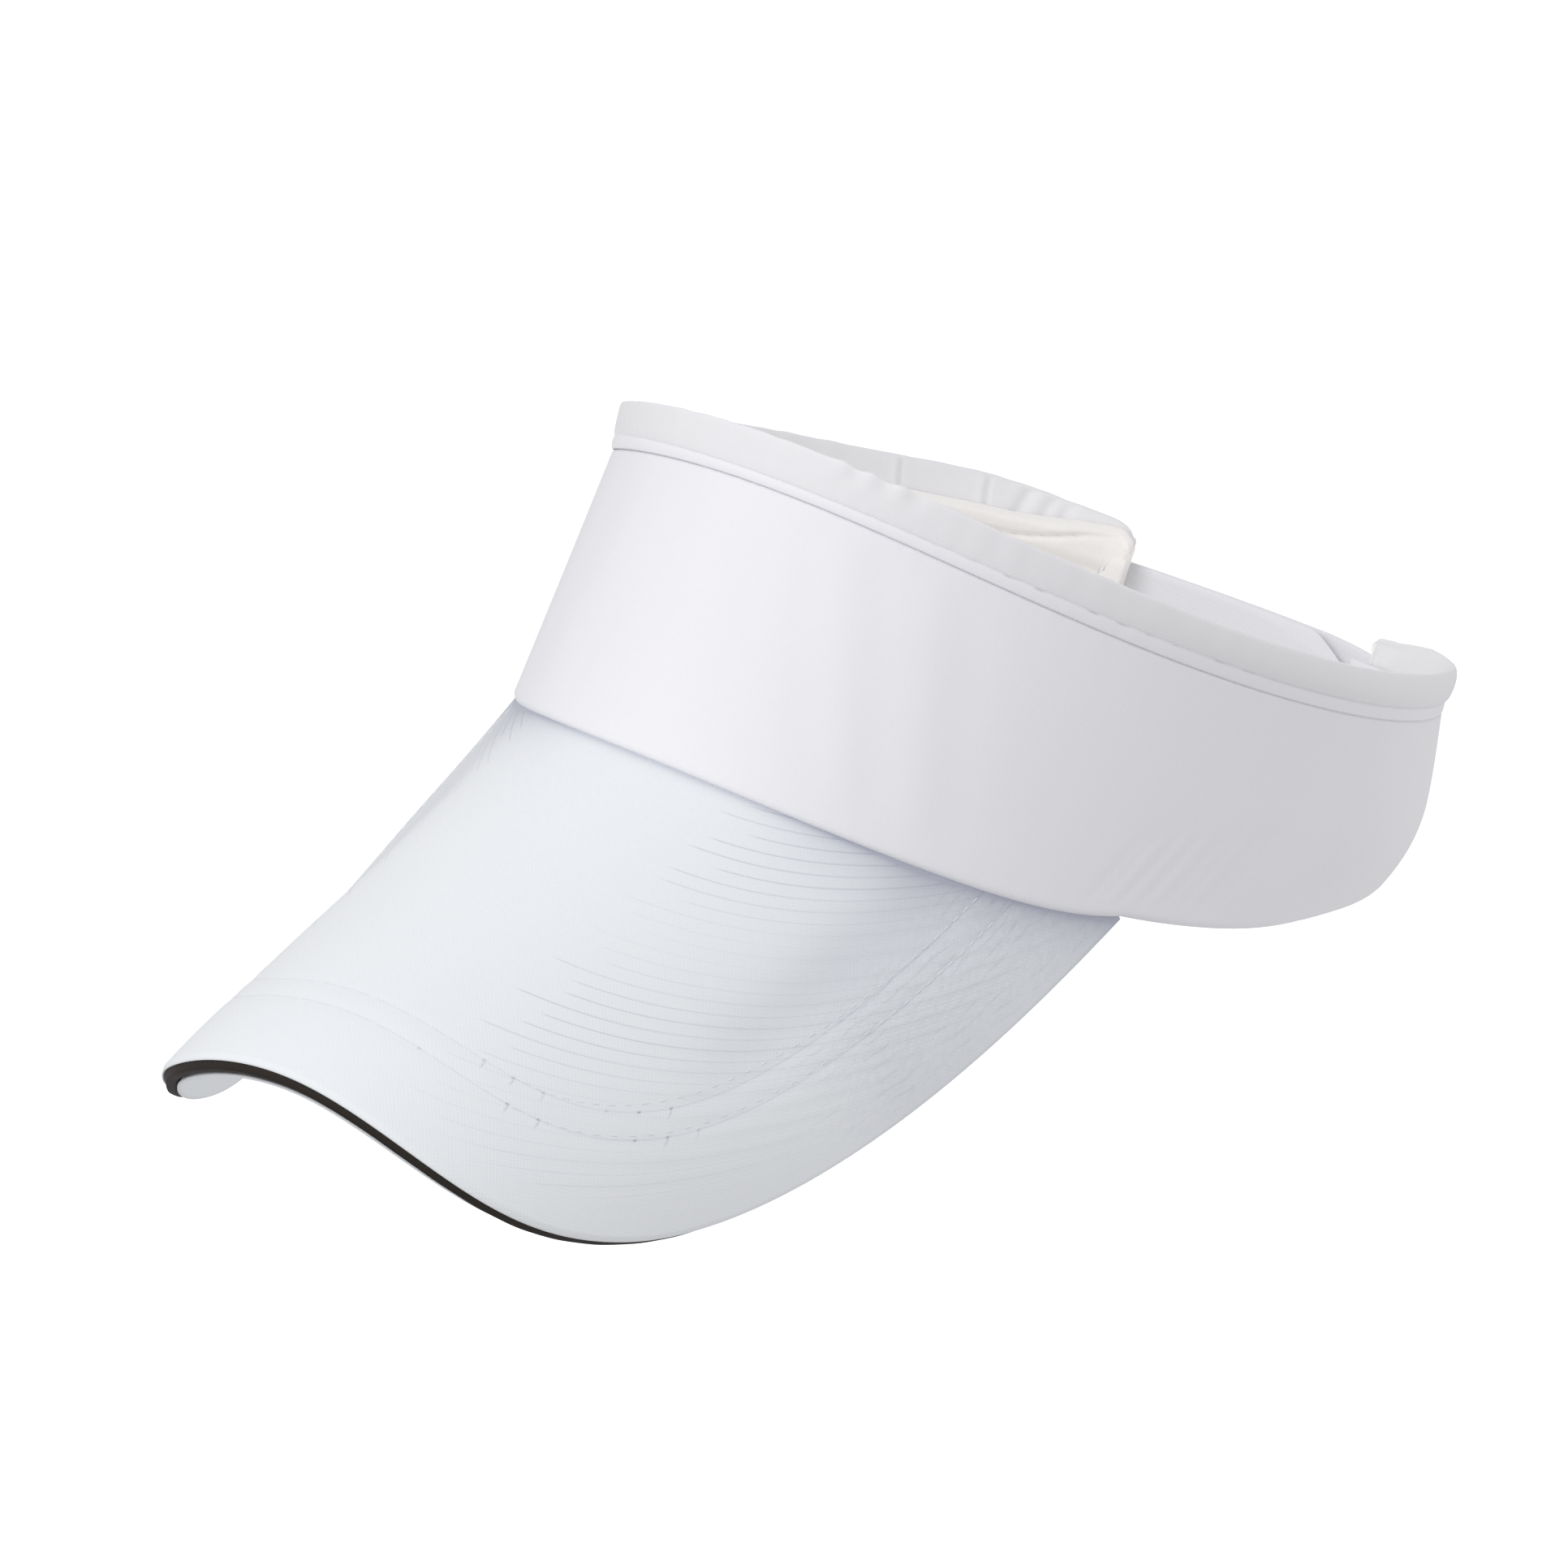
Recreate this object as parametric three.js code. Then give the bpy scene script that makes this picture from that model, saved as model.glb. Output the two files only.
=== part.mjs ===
// Sun visor: a curved brim, an open-topped cloth band and a touch-and-close strap at the back.
// Millimetres, +Z up. The front is -Y and +X is the wearer's left.
// The origin is the middle of the head opening, level with the band's lower front edge.

import * as THREE from 'three';

// ---- driving dimensions: the band ----
const bandHeight = 58;            // lower front edge to the plane of the top edge
const bandHalfWidth = 80;         // across the temples, at the seam under the binding
const bandFrontReach = 101;       // origin to the forehead
const bandBackReach = 96;         // origin to the back of the ring, if it were closed
const bandSharpness = 1.04;       // above 1 the ring is a little more pointed than an ellipse
const bandPearShape = 0.1;        // how much wider the ring is behind its middle
const topWaveTwice = 3.2;         // the top edge is higher at front and back than at the sides
const topWaveThrice = 1.1;        // and a little higher at the front than at the back
const leanFront = 7.3;            // how far the wall leans out, for each leanHeight down
const leanBack = 14;
const leanHeight = 55;
const leftEndAngle = 156;         // degrees from the front, where the band stops
const rightEndAngle = 162;
const leftEndSag = 4.2;           // the top edge sags towards the left rear end
const leftSagRange = [116, 160];  // degrees from the front
const endHeight = 29;             // the band's height at its rear ends
const rearRise = 1.5;             // the power of the lower edge's rise behind the brim

// ---- driving dimensions: the brim ----
const brimLength = 100;
const brimHalfWidthFlat = 82.5;   // measured along the curve
const brimWidestAt = -58;         // how far behind the front of the band the brim is widest
const brimSquareness = { left: 2.95, right: 3.4 };   // 2 is an ellipse, more is squarer
const brimSlope = THREE.MathUtils.degToRad(35.7);
const brimRadiusAtBand = 66.3;
const brimRadiusTaper = -0.22;    // the curve tightens towards the lip
const brimSag = -1.8;             // hollow along the middle line
const lipDroop = -2.2;            // the lip turns down over the last stretch
const lipDroopLength = 25;
const rightWingDroop = 5;         // the brim's right side hangs lower towards the lip
const wingDroopAcross = [38, 72]; // it begins and is full at these distances from the middle line
const wingDroopAlong = [5, 75];   // and at these distances from the band
const cornerShare = 0.985;        // stops the brim's layers short of the band's outer panel
const trimShare = 0.99;
const stitchRowShare = 0.8;       // how much of the brim's edge the stitch rows follow
const stitchRowInsets = { brim_stitch_outer: 17.6, brim_stitch_inner: 22.9 };

// ---- thicknesses and gaps ----
const gap = 0.3;                  // between pieces that touch
const cloth = 0.6;
const brimCover = 0.5;
const brimLayerGap = 0.5;         // more than gap, because the brim curves both ways
const boardThickness = 1.6;
const buckramThickness = 1.0;
const foamThickness = 1.2;
const bindingHeight = 8.8;
const bindingCloth = 0.8;
const bindingFlare = 1.1;         // the binding stands out at the top
const leftFlareLoss = 1.6;        // but leans in behind the left temple
const flareLossRange = [65, 105]; // degrees from the front
const bindingStitchHeight = 2.2;
const bindingTuck = 3;            // how far the layers reach up inside the binding
const sweatbandHeight = 42;
const sweatbandLeg = 10;          // how much of its section is drawn, before it is stretched to its height
const buckramReach = 72;          // degrees to each side
const threadRadius = 0.3;
const seamTapeHeight = 8;
const trimWidth = 2.8;
const boardInset = 3.2;
const endBindingWidth = 4.5;
const endBindingReach = 1.2;      // how far it stands beyond the band's end
const strapHeight = 20;
const strapCloth = 0.8;
const strapDrop = 7.8;            // from the ring's top line down to the strap's top
const strapRootSag = 2.6;         // the left root hangs lower, with the band's end
const strapSagRange = [142, 168];
const hingeSlit = 0.6;            // degrees between a strap's root and its free part
const patchCloth = 0.8;
const patchInset = 2;

// Offsets from the band's outer face, inwards negative.
const panelInner = -cloth;
const buckramOuter = panelInner - gap;
const buckramInner = buckramOuter - buckramThickness;
const liningOuter = buckramInner - gap;
const liningInner = liningOuter - cloth;
const sweatbandOuter = liningInner - gap;
const foamGap = 2 * gap;
const sweatbandInner = sweatbandOuter - 2 * (cloth + foamGap) - foamThickness;
const brimTuck = -0.7;            // the brim's inner edge lies just under the outer panel

const ringSteps = 48;
const brimStepsAcross = 32;
const brimStepsAlong = 8;
const searchSteps = 24;

const cosSlope = Math.cos(brimSlope);
const sinSlope = Math.sin(brimSlope);
const { degToRad, radToDeg, lerp, clamp, smoothstep } = THREE.MathUtils;

// ---- the ring ----

/** Height of the band's top edge at an angle from the front, if both rear ends were alike. */
function ringLine(angle) {
  return bandHeight + topWaveTwice * Math.cos(2 * angle) + topWaveThrice * Math.cos(3 * angle);
}

/** Height of the top edge. The sag is full at the left end and fades out across the open back. */
function topEdge(angle) {
  const degrees = radToDeg(angle);
  const share = smoothstep(degrees, ...leftSagRange) * (1 - smoothstep(degrees, leftSagRange[1], 180));
  return ringLine(angle) - leftEndSag * share;
}

/** Height of the binding's lower edge. */
function seam(angle) {
  return topEdge(angle) - bindingHeight;
}

/** How far the wall leans out at an angle, for each leanHeight down. */
function lean(angle) {
  const front = Math.max(Math.cos(angle), 0) ** 1.5;
  const back = Math.max(-Math.cos(angle), 0) ** 1.5;
  return leanFront * front + leanBack * back;
}

/** How far the wall leans out at its top, over the height of the binding. */
function flare(angle) {
  return bindingFlare - leftFlareLoss * smoothstep(radToDeg(angle), ...flareLossRange);
}

/** A point on the band's wall: angle from the front, height, and offset outwards from its face. */
function bandPoint(angle, height, offset) {
  const c = Math.cos(angle);
  const reach = c > 0 ? bandFrontReach : bandBackReach;
  const x = bandHalfWidth * Math.sin(angle) * (1 - bandPearShape * c);
  const y = -reach * Math.sign(c) * Math.abs(c) ** bandSharpness;
  const outward = new THREE.Vector2(x / bandHalfWidth ** 2, y / reach ** 2).normalize();
  const below = seam(angle) - height;
  const tilt = below > 0 ? (lean(angle) * below) / leanHeight : (flare(angle) * -below) / bindingHeight;
  return new THREE.Vector3(x + outward.x * (tilt + offset), y + outward.y * (tilt + offset), height);
}

// ---- the brim ----

const brimRoot = bandPoint(0, 0, 0);

/** Height of the brim's middle line above its straight slope. */
function brimMiddle(along) {
  const t = along / brimLength;
  const lip = clamp((along - brimLength + lipDroopLength) / lipDroopLength, 0, 2);
  return brimSag * 4 * t * (1 - t) + lipDroop * lip * lip;
}

/** How much lower the right side hangs than the left. */
function wingDroop(across, along) {
  return rightWingDroop * smoothstep(-across, ...wingDroopAcross) * smoothstep(along, ...wingDroopAlong);
}

/** A point on the brim from its flat pattern: across, along from the band, and depth under the top. */
function brimPoint(across, along, depth) {
  const radius = brimRadiusAtBand + brimRadiusTaper * along;
  const turn = across / radius;
  const x = (radius - depth) * Math.sin(turn);
  const arch = brimMiddle(along) - radius + (radius - depth) * Math.cos(turn);
  const lift = arch - wingDroop(across, along);
  return new THREE.Vector3(
    x,
    brimRoot.y - along * cosSlope - lift * sinSlope,
    brimRoot.z - along * sinSlope + lift * cosSlope,
  );
}

/** The flat-pattern place of the brim point that lies under a point of the band. */
function toBrimPattern(point) {
  const back = point.y - brimRoot.y;
  const up = point.z - brimRoot.z;
  const along = -back * cosSlope - up * sinSlope;
  const radius = brimRadiusAtBand + brimRadiusTaper * along;
  return { across: radius * Math.asin(clamp(point.x / radius, -1, 1)), along };
}

/** Height at which the band's wall meets the brim, found by stepping towards it. */
function brimMeeting(angle) {
  let height = 0;
  for (let step = 0; step < searchSteps; step += 1) {
    const point = bandPoint(angle, height, brimTuck);
    const { across, along } = toBrimPattern(point);
    const error = brimPoint(across, along, 0).z - height;
    height += 0.5 * error;
  }
  return height;
}

/** A point of the brim's outer edge in the flat pattern, at a polar angle about its widest line. */
function brimEdge(angle) {
  const reach = brimLength - brimWidestAt;
  const power = angle < 0 ? brimSquareness.right : brimSquareness.left;
  const sum = Math.abs(Math.sin(angle) / brimHalfWidthFlat) ** power + Math.abs(Math.cos(angle) / reach) ** power;
  const radius = sum ** (-1 / power);
  return new THREE.Vector2(radius * Math.sin(angle), brimWidestAt + radius * Math.cos(angle));
}

/** The same edge moved inwards by a distance. */
function insetEdge(angle, inset) {
  const step = 0.01;
  const tangent = brimEdge(angle + step).sub(brimEdge(angle - step)).normalize();
  return brimEdge(angle).add(new THREE.Vector2(-tangent.y, tangent.x).multiplyScalar(-inset));
}

/** The band angle at which the brim's outer edge reaches the band, found by halving. */
function findTemple() {
  let low = degToRad(40);
  let high = degToRad(100);
  for (let step = 0; step < searchSteps; step += 1) {
    const middle = (low + high) / 2;
    const { across, along } = toBrimPattern(bandPoint(middle, brimMeeting(middle), brimTuck));
    const edge = brimEdge(Math.atan2(across, along - brimWidestAt));
    if (across < edge.x) low = middle;
    else high = middle;
  }
  return low;
}

const templeAngle = findTemple();
const templeHeight = brimMeeting(templeAngle) + gap;

/** Height of the band's lower edge: on the brim in front, rising to the straps behind. */
function bottomEdge(angle) {
  const turn = Math.abs(angle);
  if (turn < templeAngle) return brimMeeting(turn) + gap;
  const rear = (turn - templeAngle) / (degToRad(rightEndAngle) - templeAngle);
  return lerp(templeHeight, bandHeight - endHeight, Math.min(rear, 1) ** rearRise);
}

/** The brim's inner edge in the flat pattern, at a share of the way from the front to a temple. */
function brimInnerEdge(share) {
  const angle = share * templeAngle;
  const { across, along } = toBrimPattern(bandPoint(angle, bottomEdge(angle) - gap, brimTuck));
  return new THREE.Vector2(across, along);
}

const templeCorner = brimInnerEdge(1);
const templePolar = Math.atan2(templeCorner.x, templeCorner.y - brimWidestAt);

// ---- building solids ----

/** Moves every vertex of a closed geometry to the place that a function gives it. */
function reshape(geometry, place) {
  const position = geometry.attributes.position;
  for (let i = 0; i < position.count; i += 1) {
    const p = place(position.getX(i), position.getY(i), position.getZ(i));
    position.setXYZ(i, p.x, p.y, p.z);
  }
  geometry.computeVertexNormals();
  return geometry;
}

/** A block from 0 to 1 on every side, cut into steps across and up. */
function unitBlock(across, up) {
  return new THREE.BoxGeometry(1, 1, 1, across, up, 1).translate(0.5, 0.5, 0.5);
}

/** A height up a layer that ends inside the binding. Its last row starts at the seam, where the wall bends. */
function tuckedHeight(low, angle, share, rows) {
  const seamShare = (rows - 1) / rows;
  if (share <= seamShare + 1e-9) return lerp(low(angle), seam(angle), share / seamShare);
  return seam(angle) + bindingTuck * ((share - seamShare) / (1 - seamShare));
}

/** A cloth layer of the band between two angles, from a low edge to a high one or into the binding. */
function bandLayer({ from, to, low, high, inner, outer, steps, rows = 1 }) {
  return reshape(unitBlock(steps, rows), (x, y, z) => {
    const angle = degToRad(lerp(from, to, x));
    const innerHere = typeof inner === 'function' ? inner(x) : inner;
    const outerHere = typeof outer === 'function' ? outer(x) : outer;
    const height = high ? lerp(low(angle), high(angle), y) : tuckedHeight(low, angle, y, rows);
    return bandPoint(angle, height, lerp(innerHere, outerHere, z));
  });
}

/** A section drawn as offset against height, carried along the band between two angles. */
function bandSweep(shape, from, to, steps, base) {
  const geometry = new THREE.ExtrudeGeometry(shape, { depth: 1, steps, bevelEnabled: false, curveSegments: 4 });
  return reshape(geometry, (x, y, z) => {
    const angle = degToRad(lerp(to, from, z));
    return bandPoint(angle, base(angle) + y, x);
  });
}

/** A layer of the brim between its inner edge and an inset from its outer edge. */
function brimLayer(top, thickness, inset) {
  return reshape(unitBlock(brimStepsAcross, brimStepsAlong), (x, y, z) => {
    const share = lerp(-1, 1, x);
    const inner = brimInnerEdge(share * cornerShare);
    const outer = insetEdge(share * templePolar, inset);
    const at = inner.lerp(outer, y);
    return brimPoint(at.x, at.y, top + thickness * z);
  });
}

/** An upside-down U: an outer leg, a rounded top and an inner leg, open below. */
function foldedSection(outerFace, innerFace, thickness, outerDrop, innerDrop) {
  const width = outerFace - innerFace;
  const round = Math.min(width / 2, 1.6);
  const shape = new THREE.Shape();
  shape.moveTo(outerFace, -outerDrop);
  shape.lineTo(outerFace, -round);
  shape.quadraticCurveTo(outerFace, 0, outerFace - round, 0);
  shape.lineTo(innerFace + round, 0);
  shape.quadraticCurveTo(innerFace, 0, innerFace, -round);
  shape.lineTo(innerFace, -innerDrop);
  shape.lineTo(innerFace + thickness, -innerDrop);
  shape.lineTo(innerFace + thickness, -round);
  shape.lineTo(innerFace + round, -thickness);
  shape.lineTo(outerFace - round, -thickness);
  shape.lineTo(outerFace - thickness, -round);
  shape.lineTo(outerFace - thickness, -outerDrop);
  shape.closePath();
  return shape;
}

/** A thread laid through a list of points. */
function thread(points, steps) {
  const half = threadRadius * 0.8;
  const section = new THREE.Shape();
  section.moveTo(half, half);
  section.lineTo(-half, half);
  section.lineTo(-half, -half);
  section.lineTo(half, -half);
  section.closePath();
  const extrudePath = new THREE.CatmullRomCurve3(points);
  return new THREE.ExtrudeGeometry(section, { steps, bevelEnabled: false, extrudePath });
}

// ---- materials ----

function matte(color, roughness = 0.9) {
  return new THREE.MeshStandardMaterial({ color, roughness, metalness: 0 });
}

const whiteCloth = matte(0xf1f2f6);
const creamCloth = matte(0xebe5dd);
const darkCloth = matte(0x2a221e, 0.85);
const foamStuff = matte(0xf3efe4, 0.95);
const buckramStuff = matte(0xe4e4e0, 0.8);
const boardPlastic = matte(0xdedfe0, 0.5);
const threadStuff = matte(0xdfe1e8, 0.7);
const fastenerStuff = matte(0xf0f0ee, 0.95);

const visor = new THREE.Group();

function add(name, geometry, material) {
  const mesh = new THREE.Mesh(geometry, material);
  mesh.name = name;
  visor.add(mesh);
}

// ---- the brim's pieces ----

function addBrim() {
  const boardTop = brimCover + brimLayerGap;
  const liningTop = boardTop + boardThickness + brimLayerGap;
  add('brim_upper_cover', brimLayer(0, brimCover, 0), whiteCloth);
  add('brim_board', brimLayer(boardTop, boardThickness, boardInset), boardPlastic);
  add('brim_lower_cover', brimLayer(liningTop, brimCover, gap), whiteCloth);
  const trim = reshape(unitBlock(brimStepsAcross, 1), (x, y, z) => {
    const polar = lerp(-templePolar, templePolar, x) * trimShare;
    const at = insetEdge(polar, lerp(trimWidth, 0, y));
    return brimPoint(at.x, at.y, boardTop + boardThickness * z);
  });
  add('sandwich_trim', trim, darkCloth);
}

/** A row of stitching on the brim, from temple to temple at a steady inset. */
function brimStitchRow(inset) {
  const points = [];
  const reach = templePolar * stitchRowShare;
  for (let i = 0; i <= brimStepsAcross; i += 1) {
    const at = insetEdge(lerp(-reach, reach, i / brimStepsAcross), inset);
    points.push(brimPoint(at.x, at.y, -gap - threadRadius));
  }
  return thread(points, 2 * brimStepsAcross);
}

function addBrimStitching() {
  for (const [name, inset] of Object.entries(stitchRowInsets)) {
    add(name, brimStitchRow(inset), threadStuff);
  }
}

/** The tape that joins the brim to the band, standing just behind the outer panel. */
function addSeamTape() {
  const reach = radToDeg(templeAngle) - 2;
  const tape = bandLayer({
    from: -reach,
    to: reach,
    low: (a) => bottomEdge(a) + gap,
    high: (a) => bottomEdge(a) + seamTapeHeight - gap,
    inner: liningOuter - cloth / 2,
    outer: liningOuter + cloth / 2,
    steps: 32,
  });
  add('brim_seam_tape', tape, whiteCloth);
}

// ---- the band's layers ----

function addBand() {
  const whole = { from: -rightEndAngle, to: leftEndAngle, steps: ringSteps };
  const aboveTape = (a) => bottomEdge(a) + seamTapeHeight;
  add('crown_outer_panel', bandLayer({
    ...whole, low: bottomEdge, inner: panelInner, outer: 0, rows: 5,
  }), whiteCloth);
  add('crown_buckram', bandLayer({
    from: -buckramReach, to: buckramReach, steps: 22, rows: 3,
    low: aboveTape, inner: buckramInner, outer: buckramOuter,
  }), buckramStuff);
  add('crown_lining', bandLayer({
    ...whole, low: aboveTape, inner: liningInner, outer: liningOuter, rows: 3,
  }), whiteCloth);
}

/** The cream sweatband: cloth folded over a foam core, open along its lower edge. */
function addSweatband() {
  const foamOuter = sweatbandOuter - cloth - foamGap;
  const foamInner = foamOuter - foamThickness;
  const low = (a) => bottomEdge(a) + 2;
  const high = (a) => Math.min(seam(a) - 1, low(a) + sweatbandHeight);
  const from = -rightEndAngle + 1;
  const to = leftEndAngle - 1;
  const cover = foldedSection(sweatbandOuter, sweatbandInner, cloth, sweatbandLeg, sweatbandLeg);
  const geometry = new THREE.ExtrudeGeometry(cover, {
    depth: 1, steps: ringSteps, bevelEnabled: false, curveSegments: 3,
  });
  add('sweatband_cover', reshape(geometry, (x, y, z) => {
    const angle = degToRad(lerp(to, from, z));
    const height = y < -sweatbandLeg / 2 ? low(angle) : high(angle) + y;
    return bandPoint(angle, height, x);
  }), creamCloth);
  add('sweatband_foam', bandLayer({
    from, to, low: (a) => low(a) + gap, high: (a) => high(a) - 2,
    inner: foamInner, outer: foamOuter, steps: ringSteps,
  }), foamStuff);
}

/** The wide binding folded over the top of every layer, and the row of stitching along it. */
function addBinding() {
  const outerFace = bindingCloth + gap;
  const innerFace = liningInner - gap - bindingCloth;
  const section = foldedSection(outerFace, innerFace, bindingCloth, bindingHeight, bindingHeight);
  add('top_binding', bandSweep(section, -rightEndAngle, leftEndAngle, ringSteps, topEdge), whiteCloth);
  const points = [];
  for (let i = 0; i <= ringSteps; i += 1) {
    const angle = degToRad(lerp(-rightEndAngle + 1, leftRootFrom - 1, i / ringSteps));
    points.push(bandPoint(angle, seam(angle) + bindingStitchHeight, outerFace + gap + threadRadius));
  }
  add('top_binding_stitch', thread(points, ringSteps), threadStuff);
}

// ---- the rear ends and the closure ----

/** Height of the closure's upper edge at an angle. */
function strapTop(angle) {
  const sag = strapRootSag * (1 - smoothstep(radToDeg(angle), ...strapSagRange));
  return ringLine(angle) - sag - strapDrop;
}

/** Height of the closure's lower edge. */
function strapBottom(angle) {
  return strapTop(angle) - strapHeight;
}

/** A binding wrapped round one rear end of the band, a U in plan. side is +1 for the left. */
function endBinding(side, endAngle) {
  const outerFace = cloth + gap;
  const innerFace = sweatbandInner - gap - cloth;
  const shape = new THREE.Shape();
  shape.moveTo(-endBindingWidth, outerFace);
  shape.lineTo(-endBindingWidth, outerFace - cloth);
  shape.lineTo(gap, outerFace - cloth);
  shape.lineTo(gap, innerFace + cloth);
  shape.lineTo(-endBindingWidth, innerFace + cloth);
  shape.lineTo(-endBindingWidth, innerFace);
  shape.lineTo(endBindingReach, innerFace);
  shape.lineTo(endBindingReach, outerFace);
  shape.closePath();
  const geometry = new THREE.ExtrudeGeometry(shape, { depth: 1, bevelEnabled: false });
  const ringRadius = bandPoint(degToRad(endAngle), seam(degToRad(endAngle)), 0).setZ(0).length();
  if (side < 0) geometry.scale(-1, 1, -1).translate(0, 0, 1);
  return reshape(geometry, (x, y, z) => {
    const angle = degToRad(side * endAngle) + x / ringRadius;
    const low = bottomEdge(angle);
    const high = seam(angle) - gap;
    return bandPoint(angle, lerp(high, low, z), y);
  });
}

function addEndBindings() {
  add('left_end_binding', endBinding(1, leftEndAngle), creamCloth);
  add('right_end_binding', endBinding(-1, rightEndAngle), creamCloth);
}

// Offsets of the closure's layers, outwards from the band's face.
const rootInner = bindingCloth + 2 * gap;      // a gap clear of the binding
const innerStrap = [rootInner, rootInner + strapCloth];
const strapBow = 0.2;             // a strap is straight where the wall under it bends
const loopInner = innerStrap[1] + gap + strapBow;
const loopLayer = [loopInner, loopInner + patchCloth];
const hookLayer = [loopLayer[1] + gap, loopLayer[1] + gap + patchCloth];
const outerStrap = [hookLayer[1] + gap, hookLayer[1] + gap + strapCloth];

// Angles along the closure, in degrees from the front towards the wearer's left.
const leftRootFrom = leftEndAngle - 14;
const leftHinge = leftEndAngle - 2;
const leftTip = 360 - rightEndAngle + 9;
const rightRootTo = 360 - rightEndAngle + 12;
const rightHinge = 360 - rightEndAngle - 2;
const rightTip = leftEndAngle + 3.5;

/** A strap or patch along the back, from one angle to another. */
function strap(from, to, inner, outer, edge = 0, steps = 10) {
  const low = (a) => strapBottom(a) + edge;
  const high = (a) => strapTop(a) - edge;
  return bandLayer({ from, to, low, high, inner, outer, steps });
}

/** The left root rises from the band's face to the level of the outer strap. */
function risingRoot(face) {
  const [low, high] = [innerStrap[face], outerStrap[face]];
  return (x) => lerp(low, high, smoothstep(x, 0.45, 1));
}

/** A rectangle of stitching on a strap's root. */
function rootStitching(from, to, offset) {
  const margin = 3;
  const line = 0.8;
  const width = ((to - from) * Math.PI * bandHalfWidth) / 180;
  const shape = new THREE.Shape();
  shape.moveTo(margin, margin);
  shape.lineTo(width - margin, margin);
  shape.lineTo(width - margin, strapHeight - margin);
  shape.lineTo(margin, strapHeight - margin);
  shape.closePath();
  const hole = new THREE.Path();
  const inner = margin + line;
  hole.moveTo(inner, inner);
  hole.lineTo(inner, strapHeight - inner);
  hole.lineTo(width - inner, strapHeight - inner);
  hole.lineTo(width - inner, inner);
  hole.closePath();
  shape.holes.push(hole);
  const geometry = new THREE.ExtrudeGeometry(shape, { depth: 0.4, bevelEnabled: false });
  return reshape(geometry, (x, y, z) => {
    const angle = degToRad(lerp(from, to, x / width));
    return bandPoint(angle, strapBottom(angle) + y, offset + z);
  });
}

function addClosure() {
  const stitchLevel = innerStrap[1] + gap;
  const leftRoot = bandLayer({
    from: leftRootFrom, to: leftHinge - hingeSlit, low: strapBottom, high: strapTop,
    inner: risingRoot(0), outer: risingRoot(1), steps: 10,
  });
  add('left_strap_root', leftRoot, whiteCloth);
  add('left_root_stitching', rootStitching(leftRootFrom, leftRootFrom + 7, stitchLevel), threadStuff);
  add('left_strap', strap(leftHinge, leftTip, ...outerStrap, 0, 16), whiteCloth);
  add('hook_patch', strap(leftHinge + 4, leftTip - 1, ...hookLayer, patchInset, 14), fastenerStuff);
  add('right_strap_root', strap(rightHinge + hingeSlit, rightRootTo, ...innerStrap), whiteCloth);
  add('right_root_stitching', rootStitching(rightHinge + 3, rightRootTo, stitchLevel), threadStuff);
  add('right_strap', strap(rightTip, rightHinge, ...innerStrap, 0, 14), whiteCloth);
  add('loop_patch', strap(rightTip + 1, rightHinge - 2, ...loopLayer, patchInset, 12), fastenerStuff);
}

addBrim();
addBrimStitching();
addSeamTape();
addBand();
addSweatband();
addBinding();
addEndBindings();
addClosure();

export default visor;
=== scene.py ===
import math

import bmesh
import bpy
import numpy as np
from mathutils import Matrix, Vector


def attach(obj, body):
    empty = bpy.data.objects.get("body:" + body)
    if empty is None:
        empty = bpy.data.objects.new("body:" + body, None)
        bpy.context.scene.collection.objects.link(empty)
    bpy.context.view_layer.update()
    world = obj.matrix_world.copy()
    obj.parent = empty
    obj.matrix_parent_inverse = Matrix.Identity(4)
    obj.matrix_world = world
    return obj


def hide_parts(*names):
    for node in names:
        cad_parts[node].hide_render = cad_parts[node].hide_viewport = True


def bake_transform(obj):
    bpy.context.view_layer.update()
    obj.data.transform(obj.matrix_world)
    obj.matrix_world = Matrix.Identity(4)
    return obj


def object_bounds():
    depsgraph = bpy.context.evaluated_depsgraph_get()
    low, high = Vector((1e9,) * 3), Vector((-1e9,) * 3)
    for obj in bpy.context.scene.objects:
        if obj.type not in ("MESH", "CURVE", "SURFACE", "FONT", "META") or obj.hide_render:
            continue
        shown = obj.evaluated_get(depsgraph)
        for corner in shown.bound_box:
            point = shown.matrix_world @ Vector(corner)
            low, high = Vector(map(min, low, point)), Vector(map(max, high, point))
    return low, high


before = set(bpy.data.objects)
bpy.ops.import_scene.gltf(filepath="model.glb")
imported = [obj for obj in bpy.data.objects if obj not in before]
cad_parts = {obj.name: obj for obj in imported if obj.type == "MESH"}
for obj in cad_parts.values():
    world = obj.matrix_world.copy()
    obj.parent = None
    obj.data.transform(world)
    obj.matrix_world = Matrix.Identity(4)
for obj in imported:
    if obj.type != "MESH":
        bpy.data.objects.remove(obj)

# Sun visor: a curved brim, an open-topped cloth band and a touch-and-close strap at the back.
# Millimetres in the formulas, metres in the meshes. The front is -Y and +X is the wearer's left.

cad_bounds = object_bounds()
MM = 0.001

# ---- driving dimensions, the same as the solid model's ----
BAND_HEIGHT = 58.0
BAND_HALF_WIDTH = 80.0
BAND_FRONT_REACH = 101.0
BAND_BACK_REACH = 96.0
BAND_SHARPNESS = 1.04
BAND_PEAR = 0.1
TOP_WAVE_TWICE = 3.2
TOP_WAVE_THRICE = 1.1
LEAN_FRONT = 7.3
LEAN_BACK = 14.0
LEAN_HEIGHT = 55.0
LEFT_END = 154.8
RIGHT_END = 163.2
END_HEIGHT = 29.0
REAR_RISE = 1.5
BINDING_HEIGHT = 8.8
BINDING_FLARE = 1.1
LEFT_FLARE_LOSS = 1.6
LEFT_END_SAG = 4.2
LEFT_SAG_RANGE = (116.0, 160.0)
FLARE_LOSS_RANGE = (65.0, 105.0)
BRIM_LENGTH = 100.0
BRIM_HALF_WIDTH = 82.5
BRIM_WIDEST_AT = -58.0
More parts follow.
